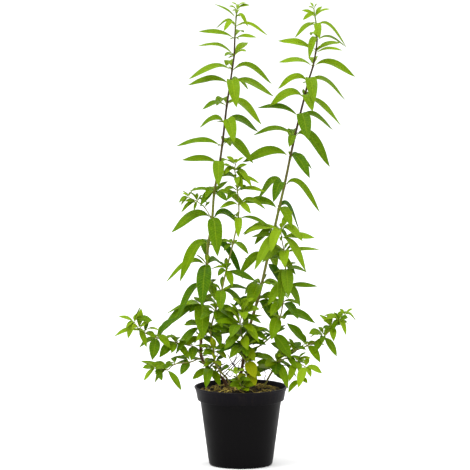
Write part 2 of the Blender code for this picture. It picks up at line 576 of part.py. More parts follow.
def make_soil():
    """The root ball: a turned plug that fills the pot, with an uneven top and a plain hole for each stem."""
    gap = GAP / math.cos(math.pi / POT_SIDES)
    rim = wall_radius(SOIL_EDGE) - gap
    step = RIM_HEIGHT - BAND_DEPTH
    points = [(0.0, 0.0, POT_FLOOR + GAP)]
    outline = [
        (wall_radius(POT_FLOOR) - 3.2 * MM, POT_FLOOR + GAP),
        (wall_radius(POT_FLOOR + 3 * MM) - gap, POT_FLOOR + 3.2 * MM),
        (wall_radius(step - 2 * MM) - gap, step + 1.1 * MM),
        (wall_radius(step + 2 * MM) - gap, step + 2.5 * MM),
    ]
    for k in range(SOIL_RINGS):
        outline.append((rim * (1 - (k / SOIL_RINGS) ** 1.1), None))
    for radius, height in outline:
        for k in range(POT_SIDES):
            turn = 2 * math.pi * k / POT_SIDES
            x, y = radius * math.cos(turn), radius * math.sin(turn)
            points.append((x, y, soil_height(x, y) if height is None else height))
    points.append((0.0, 0.0, soil_height(0.0, 0.0)))
    last = len(points) - 1
    faces = []
    for k in range(POT_SIDES):
        after = (k + 1) % POT_SIDES
        faces.append((0, 1 + after, 1 + k))
        for ring in range(len(outline) - 1):
            low = 1 + ring * POT_SIDES
            faces.append((low + k, low + after, low + POT_SIDES + after, low + POT_SIDES + k))
        top = 1 + (len(outline) - 1) * POT_SIDES
        faces.append((top + k, top + after, last))
    brown = material("potting soil", (0.10, 0.062, 0.028), 0.95)
    soil = solid("potting_soil", points, faces, brown, 50)
    cutters = []
    for name, shoots in STEMS.items():
        places, foot, _ = shoots[0]
        radius = (foot * MM + HOLE_ROOM) / math.cos(math.pi / HOLE_SIDES)
        low, high = STEM_FOOT - 1 * MM, RIM_HEIGHT + 10 * MM
        outline = [(0.0, low), (radius, low), (radius, high), (0.0, high)]
        cutter = solid(f"{name} hole", *turned(outline, HOLE_SIDES))
        cutter.location = (places[0][0] * MM, places[0][1] * MM, 0.0)
        cutters.append(cutter)
    bpy.context.view_layer.update()
    apply_boolean(soil, cutters, "DIFFERENCE")
    soil.data.shade_smooth()
    soil.data.set_sharp_from_angle(angle=math.radians(50))
    return soil


def main():
    clear_scene()
    pot = make_pot()
    soil = make_soil()
    room = Room()
    for piece in (pot, soil):
        points = [v.co.copy() for v in piece.data.vertices]
        faces = [tuple(p.vertices) for p in piece.data.polygons]
        room.add(piece.name, points, faces)
    make_stems(room)


main()
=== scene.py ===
import json
import math
import random

import bmesh
import bpy
import numpy as np
from mathutils import Matrix, Quaternion, Vector, noise
from mathutils.bvhtree import BVHTree

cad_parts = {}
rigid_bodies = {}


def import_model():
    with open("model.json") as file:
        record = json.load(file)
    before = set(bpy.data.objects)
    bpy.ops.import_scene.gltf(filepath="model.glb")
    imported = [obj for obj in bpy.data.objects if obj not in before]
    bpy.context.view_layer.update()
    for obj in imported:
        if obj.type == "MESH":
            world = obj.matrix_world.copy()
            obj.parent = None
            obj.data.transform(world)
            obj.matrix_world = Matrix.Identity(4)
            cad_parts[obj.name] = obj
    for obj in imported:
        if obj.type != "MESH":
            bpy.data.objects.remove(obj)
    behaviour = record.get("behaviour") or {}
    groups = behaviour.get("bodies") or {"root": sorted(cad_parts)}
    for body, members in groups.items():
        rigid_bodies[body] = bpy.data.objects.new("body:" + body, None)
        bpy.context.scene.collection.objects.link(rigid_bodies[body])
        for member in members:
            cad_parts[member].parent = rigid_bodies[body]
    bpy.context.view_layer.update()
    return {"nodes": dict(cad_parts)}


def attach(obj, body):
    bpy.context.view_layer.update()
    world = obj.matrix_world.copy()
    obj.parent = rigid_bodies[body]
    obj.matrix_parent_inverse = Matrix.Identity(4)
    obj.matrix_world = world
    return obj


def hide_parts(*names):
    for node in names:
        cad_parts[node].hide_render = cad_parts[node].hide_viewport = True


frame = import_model()

# The studio: a white floor that runs on to the horizon, an even white sky, two soft boxes and a weak fill.
# The camera stands far off with a long lens, a little above the pot, as in the photograph.
MM = 0.001
IMAGE_SIDE = 470
MM_PER_PIXEL = 1.5
POT_AXIS_PIXEL = 240.8
POT_FOOT_PIXEL = 464.5
CAMERA_DISTANCE = 16.0
CAMERA_ELEVATION = math.radians(8.3)
FLOOR_RADIUS = 60.0
PAPER = 0.60


def linear(code):
    """An sRGB hex colour as linear red, green, blue and alpha."""
    values = [int(code[k:k + 2], 16) / 255 for k in (1, 3, 5)]
    return [v / 12.92 if v <= 0.04045 else ((v + 0.055) / 1.055) ** 2.4 for v in values] + [1.0]


def node(material, kind, inputs=None, **settings):
    """Adds one node; an input takes a plain value, a hex colour, or another node's output to link from."""
    made = material.node_tree.nodes.new(kind)
    for key, value in settings.items():
        setattr(made, key, value)
    for key, value in (inputs or {}).items():
        if isinstance(value, bpy.types.NodeSocket):
            material.node_tree.links.new(value, made.inputs[key])
        else:
            made.inputs[key].default_value = linear(value) if isinstance(value, str) else value
    return made


def new_material(name):
    """An empty node material and its output node."""
    made = bpy.data.materials.new(name)
    made.use_nodes = True
    made.node_tree.nodes.clear()
    return made, made.node_tree.nodes.new("ShaderNodeOutputMaterial")


def surface(material, out, colour, roughness, specular, normal=None):
    """Gives a material its one shader."""
    inputs = {"Base Color": colour, "Roughness": roughness, "Specular IOR Level": specular}
    if normal:
        inputs["Normal"] = normal
    shader = node(material, "ShaderNodeBsdfPrincipled", inputs)
    material.node_tree.links.new(shader.outputs[0], out.inputs["Surface"])


def piece_from(name, shape, materials, smooth=180):
    """The finished piece of a bmesh, smooth where faces meet below an angle in degrees."""
    mesh = bpy.data.meshes.new(name)
    shape.to_mesh(mesh)
    shape.free()
    for one in materials:
        mesh.materials.append(one)
    mesh.shade_smooth()
    if smooth < 180:
        mesh.set_sharp_from_angle(angle=math.radians(smooth))
    made = bpy.data.objects.new(name, mesh)
    bpy.context.scene.collection.objects.link(made)
    return made


paper_white, out = new_material("matt studio paper")
# Matt paper of a shade that the sky above just brings up to pure white, so that thin tips aren't washed out.
surface(paper_white, out, (PAPER, PAPER, PAPER, 1.0), 1.0, 0.0)
shape = bmesh.new()
bmesh.ops.create_circle(shape, cap_ends=True, segments=64, radius=FLOOR_RADIUS)
floor = piece_from("studio_floor", shape, [paper_white])
floor.location.z = -0.0004

scene = bpy.context.scene
scene.view_settings.view_transform = "Standard"
scene.world = bpy.data.worlds.new("white studio")
scene.world.use_nodes = True
sky = scene.world.node_tree.nodes["Background"]
sky.inputs["Color"].default_value = (1.0, 1.0, 1.0, 1.0)
aloft = node(scene.world, "ShaderNodeTexCoord").outputs["Generated"]
level = node(scene.world, "ShaderNodeSeparateXYZ", {0: aloft}).outputs["Z"]
bright = node(scene.world, "ShaderNodeMapRange", {
    "Value": level, "From Min": 0.05, "To Min": 1.0, "To Max": 2.4,
})
scene.world.node_tree.links.new(bright.outputs[0], sky.inputs["Strength"])

middle = Vector((
    (IMAGE_SIDE / 2 - POT_AXIS_PIXEL) * MM_PER_PIXEL * MM,
    0.0,
    (POT_FOOT_PIXEL - IMAGE_SIDE / 2) * MM_PER_PIXEL * MM / math.cos(CAMERA_ELEVATION),
))
for name, place, size, power in (
    ("key soft box", (-1.5, -0.9, 3.6), 2.0, 110.0),
    ("back soft box", (1.6, 1.8, 3.2), 2.0, 60.0),
    ("front fill", (0.4, -3.2, 0.7), 1.6, 14.0),
):
    lamp = bpy.data.lights.new(name, "AREA")
    lamp.shape = "SQUARE"
    lamp.size = size
    lamp.energy = power
    held = bpy.data.objects.new(name, lamp)
    held.location = place
    held.rotation_euler = (middle - Vector(place)).to_track_quat("-Z", "Y").to_euler()
    scene.collection.objects.link(held)

lens = bpy.data.cameras.new("camera")
lens.sensor_width = 36.0
lens.lens = 36.0 * CAMERA_DISTANCE / (IMAGE_SIDE * MM_PER_PIXEL * MM)
lens.clip_end = 200.0
camera = bpy.data.objects.new("camera", lens)
back = Vector((0.0, -math.cos(CAMERA_ELEVATION), math.sin(CAMERA_ELEVATION)))
camera.location = middle + back * CAMERA_DISTANCE
camera.rotation_euler = (-back).to_track_quat("-Z", "Y").to_euler()
scene.collection.objects.link(camera)
scene.camera = camera

# The pot: one thin shell of black polypropylene, injection moulded, with a deep band under its rim that
# lets pots stack, a rounded lip and drain holes in its floor.
RIM_RADIUS = 70.0 * MM
RIM_HEIGHT = 118.5 * MM
BAND_FOOT_RADIUS = 65.0 * MM
BAND_DEPTH = 20.5 * MM
BODY_TOP_RADIUS = 61.0 * MM
FOOT_RADIUS = 47.8 * MM
FOOT_ROUNDING = 3.0 * MM
LIP = 1.3 * MM
WALL = 1.5 * MM
POT_FLOOR = 2.0 * MM
DRAIN_HOLES = 6
DRAIN_RADIUS = 4.5 * MM
DRAIN_CIRCLE = 33.0 * MM
BAND_STEP = RIM_HEIGHT - BAND_DEPTH


def wall_radius(height):
    """Inside radius of the pot's wall at a height."""
    if height <= BAND_STEP:
        return FOOT_RADIUS + (BODY_TOP_RADIUS - FOOT_RADIUS) * height / BAND_STEP - WALL
    share = (height - BAND_STEP) / BAND_DEPTH
    return BAND_FOOT_RADIUS + (RIM_RADIUS - LIP - BAND_FOOT_RADIUS) * share - WALL


def rounded(corner, radius, start, end, steps=5):
    """Points of an arc about a centre, between two angles in degrees, as (radius, height)."""
    turns = [math.radians(start + (end - start) * k / steps) for k in range(steps + 1)]
    return [(corner[0] + radius * math.cos(a), corner[1] + radius * math.sin(a)) for a in turns]


def mapped_grid(shape, columns, rows, place, slot=0, flip=False):
    """Adds a grid and moves each vertex to place(u, v); the UV map keeps u and v, which run from 0 to 1."""
    made = bmesh.ops.create_grid(shape, x_segments=columns, y_segments=rows, size=0.5)["verts"]
    layer = shape.loops.layers.uv.verify()
    faces = {face for vert in made for face in vert.link_faces}
    for face in faces:
        face.material_index = slot
        for loop in face.loops:
            loop[layer].uv = (loop.vert.co.x + 0.5, loop.vert.co.y + 0.5)
    for vert in made:
        vert.co = place(vert.co.x + 0.5, vert.co.y + 0.5)
    if flip:
        bmesh.ops.reverse_faces(shape, faces=list(faces))
    return made


def spun(outline, sides):
    """A bmesh turned about Z from an outline of (radius, height); its seam and its poles are merged."""
    shape = bmesh.new()

    def turned(u, v):
        radius, height = outline[round(u * (len(outline) - 1))]
        turn = 2 * math.pi * v
        return Vector((radius * math.cos(turn), radius * math.sin(turn), height))

    mapped_grid(shape, len(outline) - 1, sides, turned)
    shape.loops.layers.uv.remove(shape.loops.layers.uv.active)
    bmesh.ops.remove_doubles(shape, verts=shape.verts, dist=1e-6)
    bmesh.ops.recalc_face_normals(shape, faces=shape.faces)
    return shape


body_slope = (BODY_TOP_RADIUS - FOOT_RADIUS) / BAND_STEP
pot_outline = [(0.0, 0.0), (FOOT_RADIUS - 9 * MM, 0.0)]
pot_outline += rounded((FOOT_RADIUS - FOOT_ROUNDING, FOOT_ROUNDING), FOOT_ROUNDING, -90, -6, 7)
for k in range(1, 12):
    height = FOOT_ROUNDING + (BAND_STEP - 2 * MM - FOOT_ROUNDING) * k / 12
    pot_outline.append((FOOT_RADIUS + body_slope * height, height))
pot_outline += rounded((BODY_TOP_RADIUS + 1.0 * MM, BAND_STEP - 1.0 * MM), 1.0 * MM, 180, 90, 4)
pot_outline += rounded((BAND_FOOT_RADIUS - 0.9 * MM, BAND_STEP + 0.9 * MM), 0.9 * MM, -90, 0, 4)
for k in range(1, 4):
    height = BAND_STEP + 0.9 * MM + (BAND_DEPTH - 4.8 * MM) * k / 4
    pot_outline.append((wall_radius(height) + WALL, height))
pot_outline += rounded((RIM_RADIUS - 0.2 * MM, RIM_HEIGHT - 3.6 * MM), 1.1 * MM, 180, 110, 4)
pot_outline += rounded((RIM_RADIUS - 1.0 * MM, RIM_HEIGHT - 1.0 * MM), 1.0 * MM, -60, 90, 7)
pot_outline += rounded((RIM_RADIUS - LIP - WALL + 0.7 * MM, RIM_HEIGHT - 0.7 * MM), 0.7 * MM, 90, 180, 4)
for height in (BAND_STEP + 12 * MM, BAND_STEP + 2 * MM):
    pot_outline.append((wall_radius(height), height))
pot_outline += [
    (wall_radius(BAND_STEP - 2 * MM), BAND_STEP + 0.6 * MM),
    (wall_radius(POT_FLOOR + 3 * MM), POT_FLOOR + 3 * MM),
    (wall_radius(POT_FLOOR) - 2.5 * MM, POT_FLOOR),
    (0.0, POT_FLOOR),
]
shape = spun(pot_outline, 144)


def blend(material, share, under, over):
    """Two colours mixed, by the share of the second."""
    mixed = node(material, "ShaderNodeMix", {"Factor": share, "A": under, "B": over}, data_type="RGBA")
    return mixed.outputs["Result"]


def span(material, value, low, high, first, last, **settings):
    """A value stretched so that low and high become first and last."""
    inputs = {"Value": value, "From Min": low, "From Max": high, "To Min": first, "To Max": last}
    return node(material, "ShaderNodeMapRange", inputs, **settings).outputs[0]


def maths(material, operation, *values, **settings):
    """The result of one sum."""
    inputs = dict(enumerate(values))
    return node(material, "ShaderNodeMath", inputs, operation=operation, **settings).outputs[0]


def grains(material, place, size, detail, roughness=0.5):
    """A noise pattern with grains of a size."""
    inputs = {"Vector": place, "Scale": 1 / size, "Detail": detail, "Roughness": roughness}
    return node(material, "ShaderNodeTexNoise", inputs).outputs["Fac"]


def bumpy(material, height, strength, distance):
    """A surface direction that follows a fine relief."""
    return node(material, "ShaderNodeBump", {
        "Height": height, "Strength": strength, "Distance": distance,
    }).outputs[0]


black_plastic, out = new_material("moulded black polypropylene")
# Polypropylene straight from a mould: near black, satin, with a fine even grain that softens reflections.
place = node(black_plastic, "ShaderNodeTexCoord").outputs["Object"]
wiped = node(black_plastic, "ShaderNodeMapping", {"Vector": place, "Scale": (1.0, 1.0, 0.12)}).outputs[0]
height = node(black_plastic, "ShaderNodeSeparateXYZ", {"Vector": place}).outputs["Z"]
near_rim = span(black_plastic, height, RIM_HEIGHT - 26 * MM, RIM_HEIGHT, 0.0, 1.0)
dusty = span(black_plastic, grains(black_plastic, wiped, 7 * MM, 5.0, 0.65), 0.52, 0.80, 0.0, 0.55)
dust = maths(black_plastic, "MULTIPLY", near_rim, dusty)
tint = blend(black_plastic, near_rim, "#080708", "#0f0d12")
soiled = blend(black_plastic, dust, tint, "#2c251d")
rough = span(black_plastic, grains(black_plastic, place, 26 * MM, 4.0), 0.3, 0.7, 0.38, 0.50)
dulled = maths(black_plastic, "MULTIPLY_ADD", dust, 0.4, rough)
pitted = bumpy(black_plastic, grains(black_plastic, place, 0.9 * MM, 2.0), 0.22, 0.08 * MM)
surface(black_plastic, out, soiled, dulled, 0.045, pitted)

pot = piece_from("nursery_pot", shape, [black_plastic], 35)
drills = bpy.data.collections.new("drills")
scene.collection.children.link(drills)
for k in range(DRAIN_HOLES):
    turn = 2 * math.pi * (k + 0.5) / DRAIN_HOLES
    drill = bmesh.new()
    centre = Matrix.Translation((DRAIN_CIRCLE * math.cos(turn), DRAIN_CIRCLE * math.sin(turn), POT_FLOOR / 2))
    bmesh.ops.create_cone(
        drill, cap_ends=True, segments=24, radius1=DRAIN_RADIUS, radius2=DRAIN_RADIUS, depth=3 * POT_FLOOR,
        matrix=centre,
    )
    bit = piece_from(f"drill_{k}", drill, [])
    scene.collection.objects.unlink(bit)
    drills.objects.link(bit)
holes = pot.modifiers.new("drain holes", "BOOLEAN")
holes.operand_type = "COLLECTION"
holes.collection = drills
bpy.context.view_layer.update()
graph = bpy.context.evaluated_depsgraph_get()
drilled = bpy.data.meshes.new_from_object(pot.evaluated_get(graph))
pot.modifiers.clear()
pot.data = drilled
for bit in list(drills.objects):
    bpy.data.objects.remove(bit)
bpy.data.collections.remove(drills)
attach(pot, "root")
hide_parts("pot")

# The root ball: moist peat and coir that fills the pot to a few millimetres under the lip, heaped a little
# round the stems. Its top is crumbly, with tan fibres and a few dry leaf bits lying on it.
GAP = 0.3 * MM
SOIL_EDGE = 111.0 * MM
SOIL_MOUND = 5.0 * MM
SOIL_UNEVEN = 0.9 * MM
SOIL_CROSS_WAVES = (310, 270)
SOIL_SLANT_WAVES = (150, -190)
SOIL_SLANT_SHARE = 0.7
CRUMB = 2.6 * MM


def soil_height(x, y):
    """Height of the uneven soil, as in the solids: a low mound with small hollows."""
    reach = math.hypot(x, y) / wall_radius(SOIL_EDGE)
    waves = math.sin(x * SOIL_CROSS_WAVES[0] + 1.0) * math.sin(y * SOIL_CROSS_WAVES[1] + 0.5)
    slant = math.sin(x * SOIL_SLANT_WAVES[0] + y * SOIL_SLANT_WAVES[1] + 2.0)
    waves += SOIL_SLANT_SHARE * slant
    return SOIL_EDGE + SOIL_MOUND * (1 - reach ** 2) + SOIL_UNEVEN * waves * (1 - 0.5 * reach)


def crumbly(x, y):
    """Height of the finished soil: the smooth height with crumbs and pits on it."""
    spot = Vector((x, y, 0.0))
    lumps = noise.fractal(spot / CRUMB, 0.9, 2.1, 4) * 1.1 * MM
    clods = abs(noise.noise(spot / (3.2 * CRUMB) + Vector((7.0, 3.0, 1.0)))) * 2.2 * MM
    return soil_height(x, y) + lumps + clods - 0.6 * MM


soil_rim = wall_radius(SOIL_EDGE) - 0.45 * MM
SOIL_RINGS = 66
soil_outline = [
    (0.0, POT_FLOOR + GAP),
    (wall_radius(POT_FLOOR) - 3.2 * MM, POT_FLOOR + GAP),
    (wall_radius(POT_FLOOR + 3 * MM) - 0.45 * MM, POT_FLOOR + 3.2 * MM),
    (wall_radius(BAND_STEP - 2 * MM) - 0.45 * MM, BAND_STEP + 1.1 * MM),
    (wall_radius(BAND_STEP + 2 * MM) - 0.45 * MM, BAND_STEP + 2.5 * MM),
]
soil_outline += [(soil_rim * (1 - k / SOIL_RINGS), SOIL_EDGE) for k in range(SOIL_RINGS + 1)]
shape = spun(soil_outline, 180)
for vert in shape.verts:
    if vert.co.z > SOIL_EDGE - 0.1 * MM:
        vert.co.z = crumbly(vert.co.x, vert.co.y)


def ramp(material, share, *stops):
    """A colour along a ramp; each stop is a place from 0 to 1 and a colour."""
    made = node(material, "ShaderNodeValToRGB", {"Fac": share})
    elements = made.color_ramp.elements
    for element, (position, colour) in zip(elements, (stops[0], stops[-1])):
        element.position = position
        element.color = linear(colour)
    for position, colour in stops[1:-1]:
        elements.new(position).color = linear(colour)
    return made.outputs["Color"]


peat, out = new_material("moist peat and coir")
# Peat holds water, so it is dark brown and quite rough; dry coir dust leaves tan flecks on the high spots.
place = node(peat, "ShaderNodeTexCoord").outputs["Object"]
flecks = node(peat, "ShaderNodeTexVoronoi", {"Vector": place, "Scale": 1 / (1.6 * MM)}, feature="F1")
mixed = ramp(peat, grains(peat, place, 9 * MM, 6.0, 0.7), (0.32, "#080502"), (0.72, "#231a08"))
flecked = blend(peat, span(peat, flecks.outputs["Color"], 0.84, 0.98, 0.0, 0.75), mixed, "#7a6c2a")
surface(peat, out, flecked, 0.93, 0.12, bumpy(peat, flecks.outputs["Distance"], 0.6, 0.5 * MM))
soil = piece_from("root_ball", shape, [peat])
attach(soil, "root")
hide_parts("potting_soil")

# Crumbs of peat, short coir fibres and straw-coloured strips of dead leaf lie loose on the soil.
CRUMB_COUNT = 420
FIBRE_COUNT = 230
STRIP_EVERY = 6
STRIP_WIDTH = 3.2
SOIL_SEED = 41

draw = random.Random(SOIL_SEED)
shape = bmesh.new()
for _ in range(CRUMB_COUNT):
    turn = draw.uniform(0, 2 * math.pi)
    reach = soil_rim * 0.965 * math.sqrt(draw.random())
    x, y = reach * math.cos(turn), reach * math.sin(turn)
    size = draw.choice((0.5, 0.6, 0.8, 0.9, 1.2, 1.6)) * MM
    lump = bmesh.ops.create_icosphere(shape, subdivisions=1, radius=size)["verts"]
    stretch = Vector((draw.uniform(0.8, 1.7), draw.uniform(0.7, 1.2), draw.uniform(0.5, 0.9)))
    spin = Matrix.Rotation(draw.uniform(0, math.pi), 3, "Z")
    spin = spin @ Matrix.Rotation(draw.uniform(-0.5, 0.5), 3, "X")
    for vert in lump:
        knob = 1.0 + 0.30 * draw.uniform(-1, 1)
        vert.co = spin @ (vert.co * stretch * knob) + Vector((x, y, crumbly(x, y) + size * 0.25))
crumb_piece = piece_from("peat_crumbs", shape, [peat], 40)
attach(crumb_piece, "root")


def attribute(material, name):
    """A number that each vertex carries."""
    return node(material, "ShaderNodeAttribute", attribute_name=name).outputs["Fac"]


coir, out = new_material("dry coir fibre")
# Coir fibre is straw-tan to reddish brown, matt, and differs from fibre to fibre.
shade = attribute(coir, "tone")
surface(coir, out, ramp(coir, shade, (0.0, "#43300f"), (1.0, "#a99646")), 0.85, 0.12)

shape = bmesh.new()
tone = shape.verts.layers.float.new("tone")
for order in range(FIBRE_COUNT):
    turn = draw.uniform(0, 2 * math.pi)
    reach = soil_rim * 0.93 * math.sqrt(draw.random())
    x, y = reach * math.cos(turn), reach * math.sin(turn)
    heading = draw.uniform(0, math.pi)
    length = draw.uniform(6, 22) * MM
    bend = draw.uniform(-0.35, 0.35) * length
    hop = draw.uniform(0.3, 2.4) * MM
    thick = draw.uniform(0.22, 0.50) * MM
    broad = STRIP_WIDTH if order % STRIP_EVERY == 0 else 1.0
    along = Vector((math.cos(heading), math.sin(heading), 0.0))
    aside = Vector((-along.y, along.x, 0.0))

    def fibre(u, v):
        spot = Vector((x, y, 0.0)) + along * (u - 0.5) * length + aside * bend * 4 * u * (1 - u)
        held = min(1.0, soil_rim * 0.98 / max(math.hypot(spot.x, spot.y), 1e-6))
        spot = Vector((spot.x * held, spot.y * held, 0.0))
        ground = crumbly(spot.x, spot.y) + hop * 4 * u * (1 - u)
        turned = 2 * math.pi * v
        wide = thick * (0.25 if u in (0.0, 1.0) else 1.0)
        lifted = Vector((0.0, 0.0, wide * math.sin(turned)))
        return Vector((spot.x, spot.y, ground)) + aside * wide * broad * math.cos(turned) + lifted

    made = mapped_grid(shape, 6, 4, fibre)
    value = draw.random()
    for vert in made:
        vert[tone] = value
bmesh.ops.remove_doubles(shape, verts=shape.verts, dist=1e-7)
ends = [edge for edge in shape.edges if edge.is_boundary]
bmesh.ops.holes_fill(shape, edges=ends, sides=8)
bmesh.ops.recalc_face_normals(shape, faces=shape.faces)
fibres = piece_from("coir_fibres", shape, [coir], 60)
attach(fibres, "root")


# The plant. Every shoot follows the solids' own table: its route, and each leaf's tip, arch and width. A leaf
# that would cross what stands already is turned or lifted by the least that clears it, as in the solids.
# Each stem is a list of places from its foot to its tip, in millimetres: x, y, z and the leaves that grow
# there. A leaf is its tip's offset from the stem (x, y, z), its arch above that line, and its width.
LEFT_TALL_STEM = [
    (-22, 18, 118, []),
    (-27, 17, 127, []),
    (-37, 16, 135, [(12, -14, 8, 3, 8)]),
    (-46, 15, 141, [(-27, -12, -13, 4, 11), (-6, -50, -20, 12, 13)]),
    (-55, 14, 151, []),
    (-60, 13, 166, []),
    (-60, 12, 187, [(18, -20, -4, 6, 10)]),
    (-60, 11, 207, [(-38, -16, -40, 7, 16), (-24, 8, 6, 4, 10), (8, 30, -6, 8, 13), (26, -16, -18, 8, 13)]),
    (-58, 10, 240, [(-2, -36, -46, 16, 20), (-56, 14, -16, 7, 8), (-20, -12, -10, 4, 8),
                    (34, 26, -18, 14, 15)]),
    (-55, 9, 266, [(-42, -10, -50, 22, 18), (18, 42, -26, 16, 17), (24, -26, -16, 9, 12)]),
    (-51, 8, 300, [(-62, 8, -26, 18, 17), (28, 30, -6, 10, 15), (-8, -38, -56, 20, 22)]),
    (-49, 6, 331, [(-44, -12, -54, 24, 19), (53, 10, -54, 24, 19), (-6, 46, -22, 18, 18)]),
    (-43, 4, 371, [(-62, 0, -20, 19, 16), (45, 14, -15, 18, 17), (8, -42, -50, 20, 21)]),
    (-40, 3, 410, [(-38, 10, 3, 6, 10), (-14, -20, -4, 10, 10), (20, 12, 18, 3, 9), (52, -10, -25, 14, 14),
                   (-8, 44, -8, 14, 16)]),
    (-32, 1, 455, [(-57, -2, 6, 7, 12), (22, 34, -4, 8, 13), (-4, -38, -28, 18, 17)]),
    (-28, 0, 483, [(-70, 0, 0, 9, 14), (47, -14, -25, 19, 17), (12, 46, -8, 14, 16)]),
    (-24, -1, 518, [(-37, 30, -12, 10, 14), (51, 10, -16, 14, 15), (17, -42, -24, 18, 18)]),
    (-21, -2, 544, [(-36, -30, -2, 8, 13), (52, -12, -28, 20, 16), (-14, 46, -6, 14, 16)]),
    (-16, -3, 577, [(-64, 2, -3, 9, 13), (66, 2, -20, 14, 15), (8, -40, -31, 20, 19), (27, 38, -14, 12, 13)]),
    (-13, -4, 598, [(-66, -4, -13, 13, 14), (60, 8, -22, 18, 13), (18, -12, 9, 2, 7), (-8, 46, 0, 14, 14)]),
    (-10, -4, 620, [(-55, 0, 14, 10, 11), (22, 26, 16, 6, 11), (20, -24, 10, 5, 8), (-16, -26, 2, 5, 8)]),
    (-9, -5, 646, [(-55, 2, 10, 5, 9), (32, -22, 4, 4, 8), (12, 40, 4, 9, 10)]),
    (-8, -5, 663, [(49, 6, -14, 12, 7), (-30, 18, -5, 12, 9), (-18, -24, -4, 13, 9)]),
    (-7, -5, 677, [(-33, 4, 20, 3, 6), (18, -10, -13, 12, 7), (4, 24, 8, 7, 7)]),
    (-6, -5, 688, [(20, -4, 8, 4, 5), (-12, -4, 7, 3, 5), (3, 12, 8, 2, 5)]),
    (-5, -5, 695, [(-9, -3, 5, 1, 4), (13, -4, 5, 2, 5)]),
]
LEFT_UPPER_SPRAY = [
    (-60, 13, 168, []),
    (-70, 13, 176, [(-3, -18, -18, 5, 12)]),
    (-97, 9, 183, [(-26, -14, -20, 5, 13), (16, -14, 6, 3, 9), (4, 22, 4, 5, 9)]),
    (-126, 4, 191, [(29, 6, 29, 4, 14), (-6, -16, -31, 6, 14), (-4, 22, -4, 6, 9)]),
    (-144, 1, 199, [(16, -10, -6, 4, 8), (4, 4, 24, 2, 7)]),
    (-153, -1, 205, [(4, 4, 31, 2, 9), (-38, -4, -10, 4, 9), (12, -10, -26, 4, 9), (18, 8, 14, 3, 8)]),
    (-160, -3, 216, [(-24, -2, 9, 2, 7), (4, 6, 13, 1, 6), (-13, -8, -8, 4, 6), (-10, -8, -24, 5, 9)]),
]
LEFT_LOWER_SPRAY = [
    (-59, 13, 160, []),
    (-76, 6, 154, [(-14, -12, -18, 4, 12), (-26, 8, -6, 4, 6)]),
    (-99, -2, 152, [(-30, -10, -14, 3, 9), (-4, 16, 8, 3, 8)]),
    (-111, -7, 144, [(22, -10, -30, 3, 10), (-40, 2, 14, 2, 8), (6, 14, 12, 3, 7)]),
    (-128, -11, 147, [(-18, -6, -18, 4, 7), (-14, 8, 9, 2, 6), (-6, -10, 8, 2, 6)]),
]
LEFT_AXIL_SHOOT = [
    (-44, 4, 372, []),
    (-54, 1, 389, [(-8, -10, 4, 2, 5)]),
    (-66, 0, 399, [(-4, -6, -14, 2, 5), (0, 8, 12, 2, 5)]),
    (-78, -1, 405, [(-12, -4, -12, 3, 6), (-10, 6, 6, 2, 5), (2, -4, 9, 1, 4)]),
]
MIDDLE_STEM = [
    (-14, 0, 118, []),
    (-21, -2, 130, []),
    (-31, -5, 142, [(14, -12, 8, 3, 10)]),
    (-39, -7, 156, [(-10, -14, 4, 3, 8), (18, -8, 12, 3, 10)]),
    (-41, -9, 174, [(22, -10, 6, 3, 12), (-16, -10, -6, 4, 10)]),
    (-45, -10, 204, [(16, -22, -22, 8, 14), (-18, -12, 4, 4, 12), (26, 4, 6, 5, 11)]),
    (-38, -12, 235, [(30, -8, 2, 4, 12), (-18, -12, 6, 4, 11), (6, -24, -22, 8, 14)]),
    (-29, -13, 264, [(-14, -8, 13, 3, 8), (42, 8, 2, 6, 13), (-2, -28, -26, 10, 16), (37, -16, -42, 14, 19)]),
    (-22, -14, 296, [(45, -6, -14, 3, 12), (2, -16, 14, 2, 14), (10, -18, -22, 6, 11), (-13, -12, -6, 5, 9)]),
    (-12, -15, 336, [(-22, -8, 4, 4, 9), (-14, -14, -8, 4, 8), (24, -12, -14, 8, 12), (-10, 18, 2, 5, 8)]),
    (-4, -15, 375, [(1, -28, -25, 10, 12), (49, -6, -11, 8, 8), (-14, 26, -4, 8, 10)]),
    (-3, -15, 396, [(-29, -6, -4, 5, 10), (41, 4, -8, 12, 10), (18, -24, -10, 6, 10)]),
    (-5, -14, 417, [(43, -8, 0, 5, 9), (-22, -16, 2, 6, 9), (2, 24, 4, 6, 9)]),
    (-7, -14, 434, [(36, -4, -5, 6, 9), (-24, 8, 3, 5, 8), (3, -26, -6, 8, 9)]),
    (-9, -14, 448, [(27, -8, -24, 9, 10), (-18, -8, -6, 6, 9), (-10, -10, 8, 3, 8), (12, -12, 8, 3, 8)]),
    (-8, -14, 458, [(-14, 2, 10, 2, 7), (14, 2, 10, 2, 7), (1, -10, 9, 2, 6)]),
]
